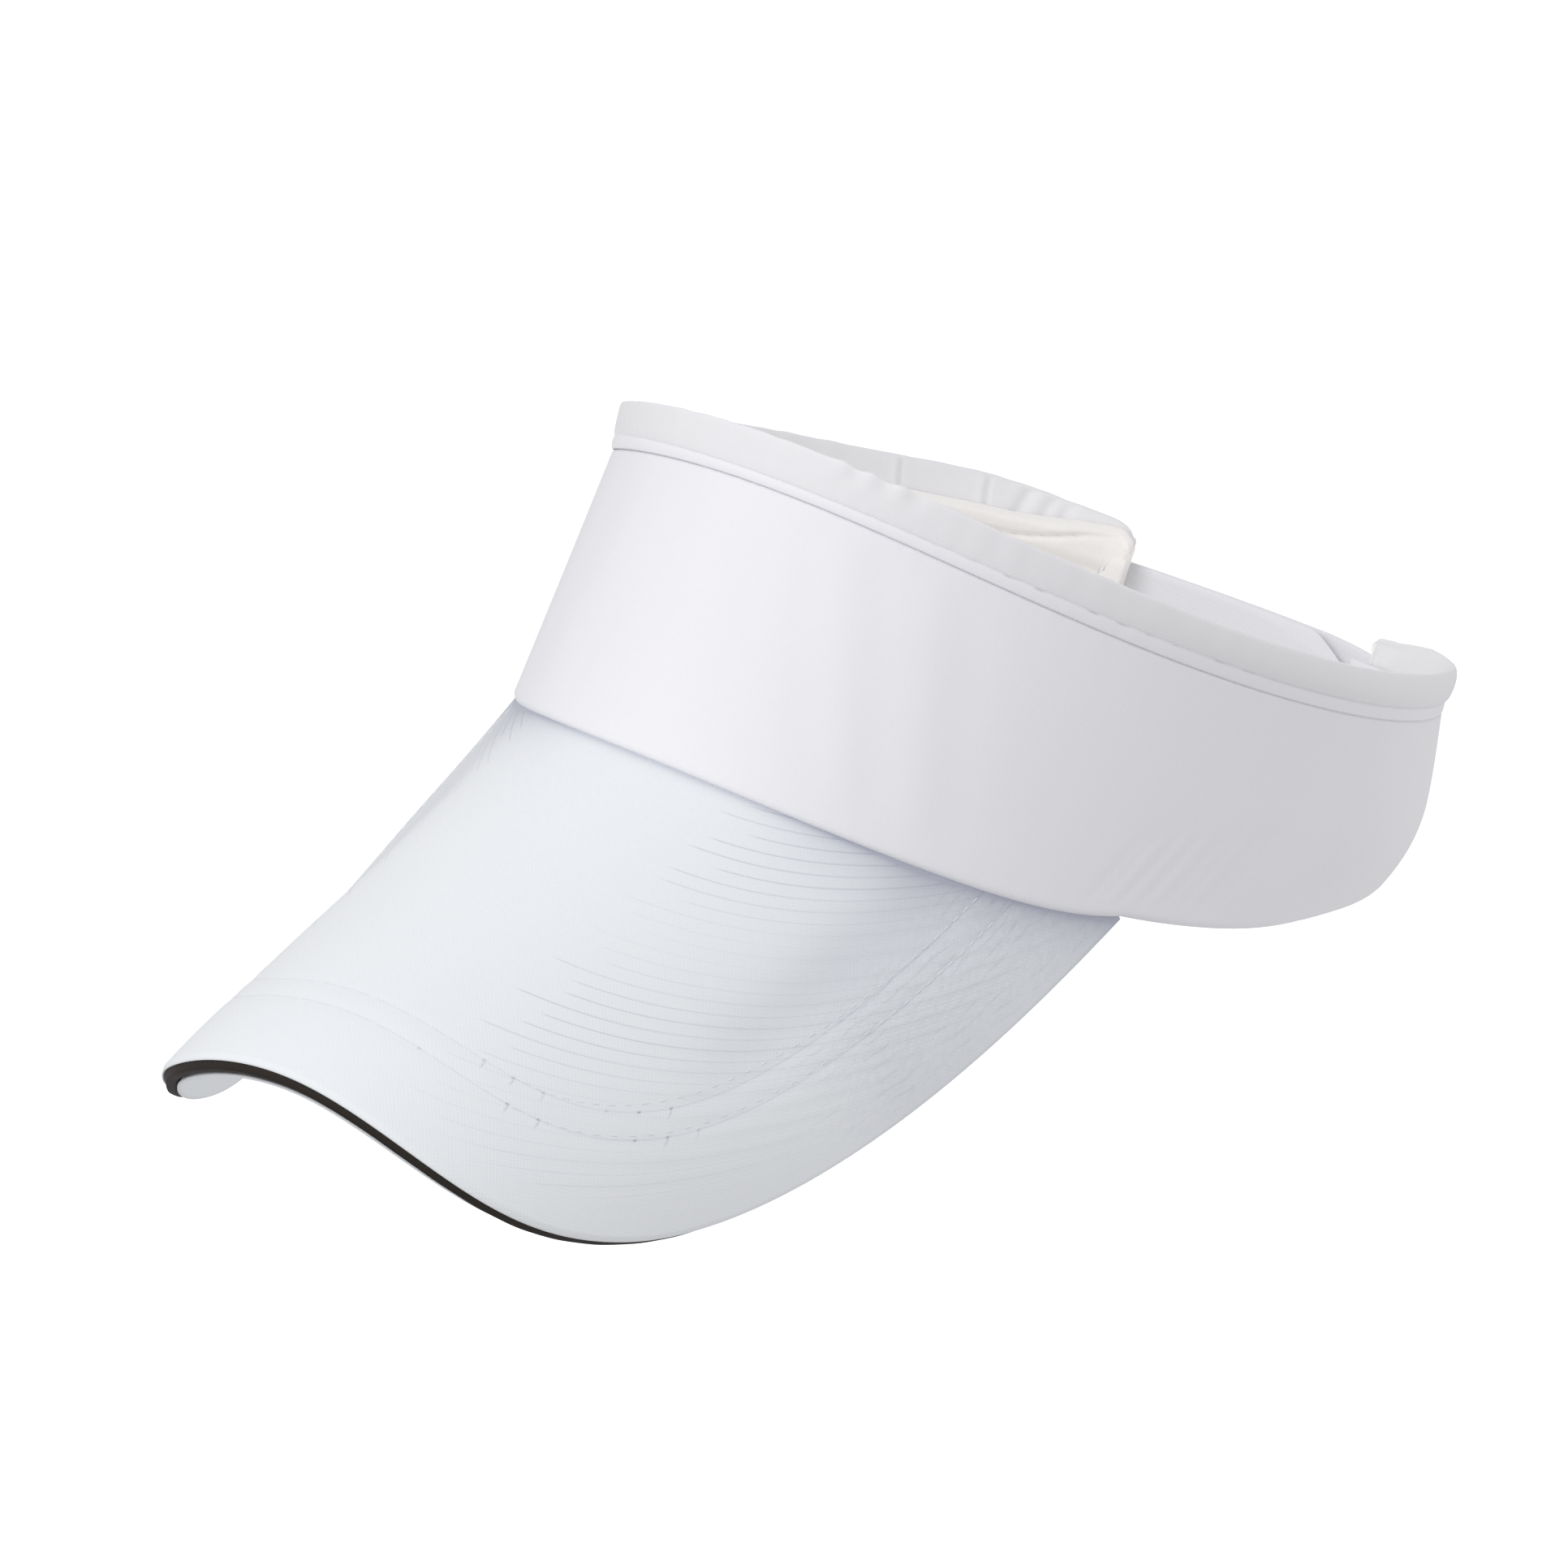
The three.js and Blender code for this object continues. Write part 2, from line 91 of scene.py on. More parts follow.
BRIM_SQUARENESS = {"left": 2.95, "right": 3.4}
BRIM_SLOPE = math.radians(35.7)
BRIM_RADIUS = 66.3
BRIM_RADIUS_TAPER = -0.22
BRIM_SAG = -1.8
LIP_DROOP = -2.2
LIP_DROOP_LENGTH = 25.0
RIGHT_WING_DROOP = 5.0
WING_DROOP_ACROSS = (38.0, 72.0)
WING_DROOP_ALONG = (5.0, 75.0)
STITCH_ROWS = {"outer": 17.6, "inner": 22.9}
STRAP_HEIGHT = 20.0
STRAP_DROP = 7.8
STRAP_ROOT_SAG = 2.6
STRAP_SAG_RANGE = (142.0, 168.0)
GAP = 0.3
BRIM_TUCK = -0.7


# ---- small helpers ----

def smooth(value, low, high):
    """0 below low, 1 above high, and an even curve between."""
    t = np.clip((value - low) / (high - low), 0.0, 1.0)
    return t * t * (3.0 - 2.0 * t)


def fade(value, low, high):
    """1 below low, 0 above high, and an even curve between."""
    return 1.0 - smooth(value, low, high)


def quarter_round(distance, radius):
    """The profile of a rounded edge, from 0 at the edge to 1 a radius away."""
    return np.sqrt(np.clip(1.0 - (1.0 - np.clip(distance / radius, 0.0, 1.0)) ** 2, 0.0, 1.0))


def bump_at(value, centre, width):
    """A soft bell, 1 at the centre."""
    return np.exp(-(((value - centre) / width) ** 2))


def ripple(value, seed, count=5, spread=0.6):
    """A steady, irregular ripple from -1 to 1. Its mean wavelength is 1."""
    local = np.random.default_rng(seed)
    total = np.zeros_like(value, dtype=float)
    for _ in range(count):
        rate = 2.0 * math.pi * (1.0 + spread * (local.random() - 0.5) * 2.0)
        total += np.sin(rate * value + 2.0 * math.pi * local.random())
    return total / count


def blotches(a, b, seed, count=7):
    """An irregular field over two coordinates, from -1 to 1, with features about 1 apart."""
    local = np.random.default_rng(seed)
    total = np.zeros(np.broadcast(a, b).shape)
    for _ in range(count):
        turn = 2.0 * math.pi * local.random()
        rate = 2.0 * math.pi * (0.6 + 0.8 * local.random())
        total += np.sin(rate * (a * math.cos(turn) + b * math.sin(turn)) + 6.3 * local.random())
    return total / count


def side_by_side(*columns):
    """Several coordinates of the same points, stretched to one shape and joined in a last axis."""
    return np.stack(np.broadcast_arrays(*columns), axis=-1)


def unit(vectors):
    return vectors / np.linalg.norm(vectors, axis=-1, keepdims=True)


def path(controls, count, rounds=3):
    """A smooth even line of points through the corners of a rough one."""
    line = np.asarray(controls, dtype=float)
    for _ in range(rounds):
        cut = np.empty((2 * len(line) - 2, 2))
        cut[0::2] = 0.75 * line[:-1] + 0.25 * line[1:]
        cut[1::2] = 0.25 * line[:-1] + 0.75 * line[1:]
        line = np.vstack([line[:1], cut, line[-1:]])
    length = np.concatenate([[0.0], np.cumsum(np.linalg.norm(np.diff(line, axis=0), axis=1))])
    even = np.linspace(0.0, length[-1], count)
    return np.stack([np.interp(even, length, line[:, k]) for k in (0, 1)], axis=1)


def path_normals(line):
    """The left-hand normal at each point of a line."""
    slope = unit(np.gradient(line, axis=0))
    return np.stack([-slope[:, 1], slope[:, 0]], axis=1)


# ---- the band's surface ----

def ring_line(angle):
    """Height of the top edge, if both rear ends were alike."""
    return BAND_HEIGHT + TOP_WAVE_TWICE * np.cos(2 * angle) + TOP_WAVE_THRICE * np.cos(3 * angle)


def top_edge(angle):
    """Height of the top edge. The sag is full at the left end and fades out across the open back."""
    degrees = np.degrees(angle)
    share = smooth(degrees, *LEFT_SAG_RANGE) * fade(degrees, LEFT_SAG_RANGE[1], 180.0)
    return ring_line(angle) - LEFT_END_SAG * share


def seam(angle):
    return top_edge(angle) - BINDING_HEIGHT


def band_point(angle, height, offset):
    """A point on the band's wall: angle from the front, height, and offset outwards from its face."""
    angle, height, offset = np.broadcast_arrays(angle, height, offset)
    c = np.cos(angle)
    front = np.maximum(c, 0.0) ** 1.5
    back = np.maximum(-c, 0.0) ** 1.5
    lean = LEAN_FRONT * front + LEAN_BACK * back
    reach = np.where(c > 0, BAND_FRONT_REACH, BAND_BACK_REACH)
    x = BAND_HALF_WIDTH * np.sin(angle) * (1.0 - BAND_PEAR * c)
    y = -reach * np.sign(c) * np.abs(c) ** BAND_SHARPNESS
    out_x = x / BAND_HALF_WIDTH**2
    out_y = y / reach**2
    size = np.hypot(out_x, out_y)
    below = seam(angle) - height
    flare = BINDING_FLARE - LEFT_FLARE_LOSS * smooth(np.degrees(angle), *FLARE_LOSS_RANGE)
    tilt = np.where(below > 0, lean * below / LEAN_HEIGHT, -flare * below / BINDING_HEIGHT)
    push = (tilt + offset) / size
    return np.stack([x + out_x * push, y + out_y * push, height], axis=-1)


def on_wall(angle, height, offset, outwards=1.0):
    """Points on the band's wall, with the way round and the way out (or in, for -1) at each."""
    places = band_point(angle, height, offset)
    ways = unit(band_point(angle + 0.01, height, offset) - places)
    ups = unit(band_point(angle, height, offset + outwards) - places)
    return places, ways, ups


# ---- the brim's surface ----

COS_SLOPE = math.cos(BRIM_SLOPE)
SIN_SLOPE = math.sin(BRIM_SLOPE)
BRIM_ROOT = band_point(0.0, 0.0, 0.0)


def brim_middle(along):
    t = along / BRIM_LENGTH
    lip = np.clip((along - BRIM_LENGTH + LIP_DROOP_LENGTH) / LIP_DROOP_LENGTH, 0.0, 2.0)
    return BRIM_SAG * 4.0 * t * (1.0 - t) + LIP_DROOP * lip * lip


def brim_point(across, along, depth):
    """A point on the brim from its flat pattern: across, along from the band, and depth under the top."""
    radius = BRIM_RADIUS + BRIM_RADIUS_TAPER * along
    turn = across / radius
    wing = smooth(-across, *WING_DROOP_ACROSS) * smooth(along, *WING_DROOP_ALONG)
    lift = brim_middle(along) - radius + (radius - depth) * np.cos(turn) - RIGHT_WING_DROOP * wing
    x = (radius - depth) * np.sin(turn)
    y = BRIM_ROOT[1] - along * COS_SLOPE - lift * SIN_SLOPE
    z = BRIM_ROOT[2] - along * SIN_SLOPE + lift * COS_SLOPE
    return np.stack([x, y, z], axis=-1)


def to_brim_pattern(point):
    """The flat-pattern place, across and along, of the brim point under a point of the band."""
    back = point[..., 1] - BRIM_ROOT[1]
    up = point[..., 2] - BRIM_ROOT[2]
    along = -back * COS_SLOPE - up * SIN_SLOPE
    radius = BRIM_RADIUS + BRIM_RADIUS_TAPER * along
    across = radius * np.arcsin(np.clip(point[..., 0] / radius, -1.0, 1.0))
    return across, along


def brim_meeting(angle):
    """Height at which the band's wall meets the brim, found by stepping towards it."""
    height = np.zeros_like(np.asarray(angle, dtype=float))
    for _ in range(20):
        across, along = to_brim_pattern(band_point(angle, height, BRIM_TUCK))
        height = height + 0.5 * (brim_point(across, along, 0.0)[..., 2] - height)
    return height


def brim_edge(polar):
    """A point of the brim's outer edge in the flat pattern, at a polar angle about its widest line."""
    reach = BRIM_LENGTH - BRIM_WIDEST_AT
    power = np.where(np.asarray(polar) < 0, BRIM_SQUARENESS["right"], BRIM_SQUARENESS["left"])
    total = np.abs(np.sin(polar) / BRIM_HALF_WIDTH) ** power + np.abs(np.cos(polar) / reach) ** power
    radius = total ** (-1.0 / power)
    return np.stack([radius * np.sin(polar), BRIM_WIDEST_AT + radius * np.cos(polar)], axis=-1)


def inset_edge(polar, inset):
    """The same edge moved inwards by a distance."""
    step = 0.01
    tangent = unit(brim_edge(polar + step) - brim_edge(polar - step))
    inwards = np.stack([tangent[..., 1], -tangent[..., 0]], axis=-1)
    return brim_edge(polar) + inwards * np.asarray(inset)[..., None]


def find_temple():
    """The band angle at which the brim's outer edge reaches the band, found by halving."""
    low, high = math.radians(40), math.radians(100)
    for _ in range(24):
        middle = (low + high) / 2
        across, along = to_brim_pattern(band_point(middle, brim_meeting(middle), BRIM_TUCK))
        edge = brim_edge(math.atan2(across, along - BRIM_WIDEST_AT))
        if across < edge[0]:
            low = middle
        else:
            high = middle
    return low


TEMPLE = find_temple()
TEMPLE_HEIGHT = float(brim_meeting(TEMPLE)) + GAP


def bottom_edge(angle):
    """Height of the band's lower edge: on the brim in front, rising to the straps behind."""
    turn = np.abs(angle)
    rear = np.clip((turn - TEMPLE) / (math.radians(RIGHT_END) - TEMPLE), 0.0, 1.0)
    behind = TEMPLE_HEIGHT + (BAND_HEIGHT - END_HEIGHT - TEMPLE_HEIGHT) * rear**REAR_RISE
    ahead = brim_meeting(np.minimum(turn, TEMPLE)) + GAP
    return np.where(turn < TEMPLE, ahead, behind)


def brim_inner_edge(share, tuck=BRIM_TUCK):
    """The brim's inner edge in the flat pattern, at a share of the way from the front to a temple."""
    angle = share * TEMPLE
    across, along = to_brim_pattern(band_point(angle, bottom_edge(angle) - GAP, tuck))
    return np.stack([across, along], axis=-1)


TEMPLE_CORNER = brim_inner_edge(1.0)
TEMPLE_POLAR = math.atan2(TEMPLE_CORNER[0], TEMPLE_CORNER[1] - BRIM_WIDEST_AT)


# ---- making pieces ----

def add_piece(name, points, faces, cloth, material, body, replaces=(), closed=True):
    """A mesh object from points in millimetres.

    cloth has each point's place on the flat cloth, the shade painted on it (in creases, grooves and
    under other parts), and, on the brim, how far it is from the outer edge and how far round that edge.
    """
    mesh = bpy.data.meshes.new(name)
    mesh.from_pydata((np.asarray(points) * MM).tolist(), [], faces)
    flat = np.zeros((len(points), 6))
    flat[:, : cloth.shape[1]] = cloth
    for title, columns in (("cloth", slice(0, 3)), ("edge", slice(3, 6))):
        attribute = mesh.attributes.new(title, "FLOAT_VECTOR", "POINT")
        attribute.data.foreach_set("vector", flat[:, columns].ravel())
    work = bmesh.new()
    work.from_mesh(mesh)
    if closed:
        bmesh.ops.remove_doubles(work, verts=work.verts, dist=1e-6)
        bmesh.ops.dissolve_degenerate(work, dist=1e-7, edges=work.edges)
    bmesh.ops.recalc_face_normals(work, faces=work.faces)
    work.to_mesh(mesh)
    work.free()
    mesh.polygons.foreach_set("use_smooth", [True] * len(mesh.polygons))
    mesh.materials.append(material)
    piece = bpy.data.objects.new(name, mesh)
    bpy.context.scene.collection.objects.link(piece)
    if body:
        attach(piece, body)
    if replaces:
        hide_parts(*replaces)
    return piece


def wrapped_faces(rows, columns, first=0):
    """Quads over a grid whose columns join up into a ring."""
    faces = []
    for i in range(rows - 1):
        low = first + i * columns
        high = low + columns
        for j in range(columns):
            k = (j + 1) % columns
            faces.append((low + j, low + k, high + k, high + j))
    return faces


def tube_faces(rows, columns, first=0):
    """The same, closed at both ends."""
    last = first + (rows - 1) * columns
    caps = [[start + j for j in range(columns)] for start in (first, last)]
    return wrapped_faces(rows, columns, first) + caps


def pushed_ends(first, second, amount):
    """The first row moved away from the second by an amount."""
    away = first - second
    return first + amount[..., None] * away / np.maximum(np.linalg.norm(away, axis=-1, keepdims=True), 1e-9)


def thick_sheet(name, outer, inner, cloth, material, replaces=(), body="crown", slot="white_cloth"):
    """A closed sheet between two matching grids of points, with rounded rims."""
    middle = (outer + inner) / 2
    half = np.linalg.norm(outer - inner, axis=-1) / 2
    first_rim = pushed_ends(middle[:, 0], middle[:, 1], half[:, 0])
    last_rim = pushed_ends(middle[:, -1], middle[:, -2], half[:, -1])
    ring = np.concatenate([outer, last_rim[:, None], inner[:, ::-1], first_rim[:, None]], axis=1)
    flat = np.concatenate([middle, last_rim[:, None], middle[:, ::-1], first_rim[:, None]], axis=1)
    size = np.concatenate([half, half[:, -1:] * 0, half[:, ::-1], half[:, :1] * 0], axis=1)
    start = pushed_ends(flat[0], flat[1], size[0] * 0 + half[0].mean())
    stop = pushed_ends(flat[-1], flat[-2], size[-1] * 0 + half[-1].mean())
    grid = np.concatenate([start[None], ring, stop[None]], axis=0)
    place = np.concatenate([cloth, cloth[:, -1:], cloth[:, ::-1], cloth[:, :1]], axis=1)
    place = np.concatenate([place[:1], place, place[-1:]], axis=0)
    rows, columns = grid.shape[:2]
    return add_piece(
        name, grid.reshape(-1, 3), wrapped_faces(rows, columns), place.reshape(-1, place.shape[-1]),
        material, body, replaces,
    )


def ring_angles(start, stop, spacing):
    """Even angles in radians between two in degrees, about a spacing in millimetres apart."""
    count = int(abs(stop - start) * math.pi / 180 * BAND_HALF_WIDTH * 1.1 / spacing) + 2
    return np.radians(np.linspace(start, stop, count))


def arc_length(angle):
    """Millimetres round the band from the front, near enough for a weave."""
    return angle * (BAND_HALF_WIDTH + BAND_FRONT_REACH) / 2


# Millimetres for each radian: round the band's rear ends, and round the brim's outer edge.
REAR_ARC = BAND_HALF_WIDTH * 0.9
BRIM_ARC = 110.0


# ---- stitches ----

def stitches(name, places, ways, ups, length, radius, material, replaces=()):
    """Short threads, each lying on the cloth and dipping into it at both ends."""
    along = np.linspace(-1.0, 1.0, 7)
    lift = radius * (0.9 - 1.9 * np.abs(along) ** 3)
    girth = radius * (1.0 - 0.45 * along**4)
    turns = np.linspace(0.0, 2.0 * math.pi, 6, endpoint=False)
    side = np.cross(ups, ways)
    points, faces, cloth = [], [], []
    for place, way, up, across in zip(places, ways, ups, side):
        faces += tube_faces(len(along), len(turns), len(points))
        for t, rise, fat in zip(along, lift, girth):
            for turn in turns:
                across_by = fat * math.cos(turn)
                up_by = rise + fat * math.sin(turn)
                points.append(place + way * (t * length / 2) + across * across_by + up * up_by)
                cloth.append((t * length / 2, turn * radius))
    add_piece(
        name, np.array(points), faces, np.array(cloth), material, "crown", replaces, closed=False,
    )


# ---- materials ----

class Nodes:
    """A short way to build a material's node tree."""

    def __init__(self, name):
        self.material = bpy.data.materials.new(name)
        self.material.use_nodes = True
        self.tree = self.material.node_tree

    def plug(self, value, target):
        """Links a field or a socket to an input, or sets a plain value on it."""
        value = value.socket if isinstance(value, Field) else value
        if isinstance(value, bpy.types.NodeSocket):
            self.tree.links.new(value, target)
        else:
            target.default_value = value

    def add(self, kind, inputs=None, **settings):
        node = self.tree.nodes.new(kind)
        for key, value in settings.items():
            setattr(node, key, value)
        for key, value in (inputs or {}).items():
            self.plug(value, node.inputs[key])
        return node

    def noise(self, vector, scale, detail=2.0):
        inputs = {"Vector": vector, "Scale": scale, "Detail": detail}
        return Field(self, self.add("ShaderNodeTexNoise", inputs).outputs["Fac"])

    def axes(self, vector):
        """The three numbers of a vector."""
        outputs = self.add("ShaderNodeSeparateXYZ", {0: vector}).outputs
        return [Field(self, outputs[k]) for k in range(3)]

    def mix(self, factor, a, b):
        return self.add("ShaderNodeMix", {0: factor, 6: a, 7: b}, data_type="RGBA").outputs[2]

    def set_shader(self, values):
        for name, value in values.items():
            self.plug(value, self.tree.nodes["Principled BSDF"].inputs[name])

    def surface(self, colour, roughness, height, strength, values):
        """Sets the shader's colour, roughness, relief (its height in millimetres) and plain values."""
        bump = self.add("ShaderNodeBump", {"Strength": strength, "Distance": MM, "Height": height})
        self.set_shader({"Base Color": colour, "Roughness": roughness, "Normal": bump.outputs[0]})
        self.set_shader(values)
        return self.material


class Field:
    """A number that varies over a surface, for writing a node tree as a formula."""

    def __init__(self, nodes, socket):
        self.nodes = nodes
        self.socket = socket

    def apply(self, operation, other=0.0):
        node = self.nodes.add("ShaderNodeMath", {0: self, 1: other}, operation=operation)
        return Field(self.nodes, node.outputs[0])

    def __add__(self, other):
        return self.apply("ADD", other)

    def __sub__(self, other):
        return self.apply("SUBTRACT", other)

    def __mul__(self, other):
        return self.apply("MULTIPLY", other)

    def __truediv__(self, other):
        return self.apply("DIVIDE", other)

    def ramp(self, low, high, curve="LINEAR"):
        """0 below low, 1 above high, and a straight line or a curve between."""
        inputs = {0: self, 1: low, 2: high, 3: 0.0, 4: 1.0}
        node = self.nodes.add("ShaderNodeMapRange", inputs, interpolation_type=curve)
        return Field(self.nodes, node.outputs[0])

    def rise(self, low, high):
        return self.ramp(low, high, "SMOOTHSTEP")

    def fall(self, low, high):
        return self.rise(low, high) * -1.0 + 1.0

    def bell(self, centre, width):
        """A soft bell, 1 at the centre."""
        reach = (self - centre) / width
        return (reach * reach * -1.0).apply("EXPONENT")


def place_on_cloth(nodes, on_cloth):
    """Where a point is, in millimetres: on the flat cloth, or in space for a solid without that."""
    if on_cloth:
        return nodes.add("ShaderNodeAttribute", attribute_name="cloth").outputs["Vector"]
    spot = nodes.add("ShaderNodeTexCoord").outputs["Object"]
    inputs = {0: spot, 1: (1000, 1000, 1000)}
    return nodes.add("ShaderNodeVectorMath", inputs, operation="MULTIPLY").outputs[0]


def glow(colour, strength):
    """A faint light of its own. On cloth it is painted light, an emission that brightens it as if thin
    pale cloth let the light behind it through; on the floor it keeps the floor evenly white.
    """
    return {"Emission Color": colour, "Emission Strength": strength}


def weave_height(nodes, place, thread):
    """Over-and-under threads: two crossed waves that swap places like a plain weave."""
    across, along = ((axis * (math.pi / thread)).apply("SINE") for axis in nodes.axes(place)[:2])
    return across * along * 0.5 + (across.apply("ABSOLUTE") + along.apply("ABSOLUTE")) * 0.25


def fabric(name, colour, shade, thread=0.45, relief=0.05, fuzz=0.03, roughness=0.8, sheen=0.4,
           on_cloth=True, mottle=0.25, through=0.0, detail=None):
    """Woven cloth: threads, fuzz, faint mottling in its colour and roughness.

    detail(nodes, place) may add finer relief in millimetres and shadow of its own.
    """
    nodes = Nodes(name)
    place = place_on_cloth(nodes, on_cloth)
    weave = weave_height(nodes, place, thread)
    # painted shade: the cloth attribute's third number and any finer detail's shadow darken the colour
    # towards CREASE_SHADE
    painted_shade = nodes.axes(place)[2] if on_cloth else 0.0
    fibres = nodes.noise(place, 2.2 / thread, 3.0)
    cloudy = nodes.noise(place, 0.045, 4.0)
    tone = (weave * 0.12 + cloudy).ramp(0.25, 0.85) * mottle
    height = weave * relief + fibres * fuzz
    if detail:
        fine_height, fine_shadow = detail(nodes, place)
        height = height + fine_height
        painted_shade = (painted_shade + fine_shadow).apply("MINIMUM", 0.9)
    base = nodes.mix(painted_shade, nodes.mix(tone, colour, shade), CREASE_SHADE)
    values = {"Sheen Weight": sheen, "Sheen Roughness": 0.5, "Specular IOR Level": 0.25}
    # painted light: through is the strength of a faint emission that brightens the cloth
    if through:
        values.update(glow(colour, through))
    return nodes.surface(base, fibres * 0.16 + (roughness - 0.08), height, 0.5, values)


def towelling(name, colour, shade):
    """Looped towelling: clumps of short pile."""
    nodes = Nodes(name)
    place = place_on_cloth(nodes, True)
    cells = nodes.add("ShaderNodeTexVoronoi", {"Vector": place, "Scale": 1.9}, feature="SMOOTH_F1")
    loops = Field(nodes, cells.outputs["Distance"])
    pile = nodes.noise(place, 2.5, 3.0)
    tone = (loops * 0.35 + nodes.noise(place, 0.05, 3.0)).ramp(0.35, 1.0)
    # painted light: a faint emission brightens the towelling
    values = {"Sheen Weight": 0.35, "Specular IOR Level": 0.15, **glow(colour, 0.10)}
    base = nodes.mix(tone, colour, shade)
    return nodes.surface(base, pile.ramp(-0.5, 1.2), pile * 0.06 - loops * 0.09, 0.5, values)


def twisted_thread(name, colour, shade):
    """Sewing thread: fine diagonal plies."""
    nodes = Nodes(name)
    across, along = nodes.axes(place_on_cloth(nodes, True))[:2]
    plies = ((across + along) * 14.0).apply("SINE")
    base = nodes.mix(plies.ramp(-1.5, 2.5), colour, shade)
    return nodes.surface(base, plies.ramp(-3.0, 2.0), plies * 0.05, 0.4, {"Sheen Weight": 0.2})


CREASE_SPACING = 3.4
CREASE_BEND = 0.00261
CREASE_POWER = 2.4
CREASE_START = {"left": 17.5, "right": 40.0}
HOLE_SPACING = 4.6


def brim_creases(across, along, inset, wander):
    """Fine parallel creases that start near the middle and run back over the sides: (height, shadow)."""
    side = across.apply("ABSOLUTE")
    run = along + side.apply("POWER", CREASE_POWER) * CREASE_BEND
    phase = run / CREASE_SPACING + wander * 0.7
    number = phase.apply("ROUND")
    share = phase - number
    strength = (number * 12.9898).apply("SINE") * 0.4 + 0.6
    on_right = across.apply("LESS_THAN", 0.0) * (CREASE_START["right"] - CREASE_START["left"])
    start = (number * 4.1).apply("SINE") * 4.0 + on_right + CREASE_START["left"]
    near = side.rise(start, start + 3.0) * (side.rise(44.0, 66.0) * -0.3 + 1.0) * inset.rise(4.0, 10.0)
    sharp = side.fall(start + 8.0, start + 34.0)
    valley = share.bell(0.0, sharp * -0.035 + 0.085)
    edge = share.bell(0.16, 0.13)
    height = near * strength * (edge * 0.03 - valley * 0.08)
    return height, near * strength * valley * (sharp * 0.26 + 0.13)


def brim_cross_wrinkles(across, along, inset, noises):
    """Short wrinkles near the sides that run with the edge, over fine crumpling: (height, shadow)."""
    coarse, patches, fine = noises
    phase = (inset + coarse * 4.0) / 2.3
    share = phase - phase.apply("ROUND")
    side = across.apply("ABSOLUTE")
    zone = side.rise(46.0, 62.0) * along.fall(14.0, 44.0) * inset.rise(1.0, 3.5)
    valley = share.bell(0.0, 0.11) * patches.rise(-0.12, 0.2) * zone
    crumple = fine * zone
    return crumple * 0.30 - valley * 0.08, valley * 0.12 + crumple * 0.20


def brim_needle_marks(across, inset, run):
    """A fine line along each row, with needle holes and short puckers across it: (height, shadow)."""
    height = across * 0.0
    shadow = across * 0.0
    for index, row in enumerate(STITCH_ROWS.values()):
        line = inset.bell(row, 0.17)
        hole = run / HOLE_SPACING + 0.3 * index
        number = hole.apply("ROUND")
        beside = (hole - number) * HOLE_SPACING
        chance = (number * 7.7 + float(index)).apply("SINE").rise(-0.7, 0.3)
        keen = chance * run.rise(4.0, 14.0) * run.fall(44.0, 60.0)
        lengthy = (number * 5.3).apply("SINE").rise(0.1, 0.3)
        pit = beside.bell(0.0, 0.24) * inset.bell(row, 0.24) * keen
        pucker = beside.bell(0.25, 0.12) * inset.bell(row - 0.9, 0.8) * keen * lengthy
        gleam = beside.bell(-0.25, 0.2) * inset.bell(row - 0.9, 0.7) * keen * lengthy
        height = height - line * 0.05 - pit * 0.15 - pucker * 0.08 + gleam * 0.06
        shadow = shadow + line * 0.16 + pit * 0.75 + pucker * 0.42
    return height, shadow


def brim_fine_detail(nodes, place):
    """Everything on the brim that is finer than its mesh."""
    across, along = nodes.axes(place)[:2]
    edge = nodes.add("ShaderNodeAttribute", attribute_name="edge").outputs["Vector"]
    inset, run = nodes.axes(edge)[:2]
    wander = nodes.noise(place, 0.016, 1.0) - 0.5
    noises = [nodes.noise(place, scale, 2.0) - 0.5 for scale in (0.09, 0.14, 0.7)]
    height, shadow = brim_creases(across, along, inset, wander)
    finer = [brim_cross_wrinkles(across, along, inset, noises), brim_needle_marks(across, inset, run)]
    for more_height, more_shadow in finer:
        height = height + more_height
        shadow = shadow + more_shadow
    return height, shadow


# CREASE_SHADE is the colour of painted shade, in creases and grooves and under other parts
CREASE_SHADE = (0.42, 0.44, 0.52, 1)
WHITE = (0.905, 0.905, 0.93, 1)
WHITE_SHADE = (0.85, 0.85, 0.88, 1)
# COOL is the brim's white made bluer: painted light, standing in for the cool light the brim catches
COOL = (0.878, 0.902, 0.922, 1)
COOL_SHADE = (0.82, 0.845, 0.87, 1)
CREAM = (0.90, 0.88, 0.855, 1)
CREAM_SHADE = (0.85, 0.825, 0.795, 1)
STRAP_WHITE = (0.87, 0.87, 0.895, 1)
STRAP_SHADE = (0.82, 0.82, 0.85, 1)
GREY_WHITE = (0.848, 0.842, 0.859, 1)
GREY_SHADE = (0.80, 0.793, 0.81, 1)

crown_cloth = fabric("crown_cloth", WHITE, WHITE_SHADE, relief=0.02, fuzz=0.02)
# The strip, binding and end-binding cloth get painted light: through gives each a faint emission that
# brightens it.
strip_cloth = fabric("strip_cloth", WHITE, WHITE_SHADE, relief=0.03, fuzz=0.02, through=0.015)
brim_cloth = fabric("brim_cloth", COOL, COOL_SHADE, relief=0.05, fuzz=0.03)
creased_cloth = fabric(
    "creased_brim_cloth", COOL, COOL_SHADE, relief=0.05, fuzz=0.03, detail=brim_fine_detail,
)
binding_cloth = fabric(
    "binding_cloth", GREY_WHITE, GREY_SHADE, thread=0.6, relief=0.03, fuzz=0.02, through=0.03,
)
hem_cloth = fabric(
    "end_binding_cloth", CREAM, CREAM_SHADE, thread=0.6, relief=0.03, fuzz=0.03, through=0.10,
)
strap_cloth = fabric(
    "strap_cloth", STRAP_WHITE, STRAP_SHADE, thread=0.6, relief=0.05, fuzz=0.03, roughness=0.75,
)
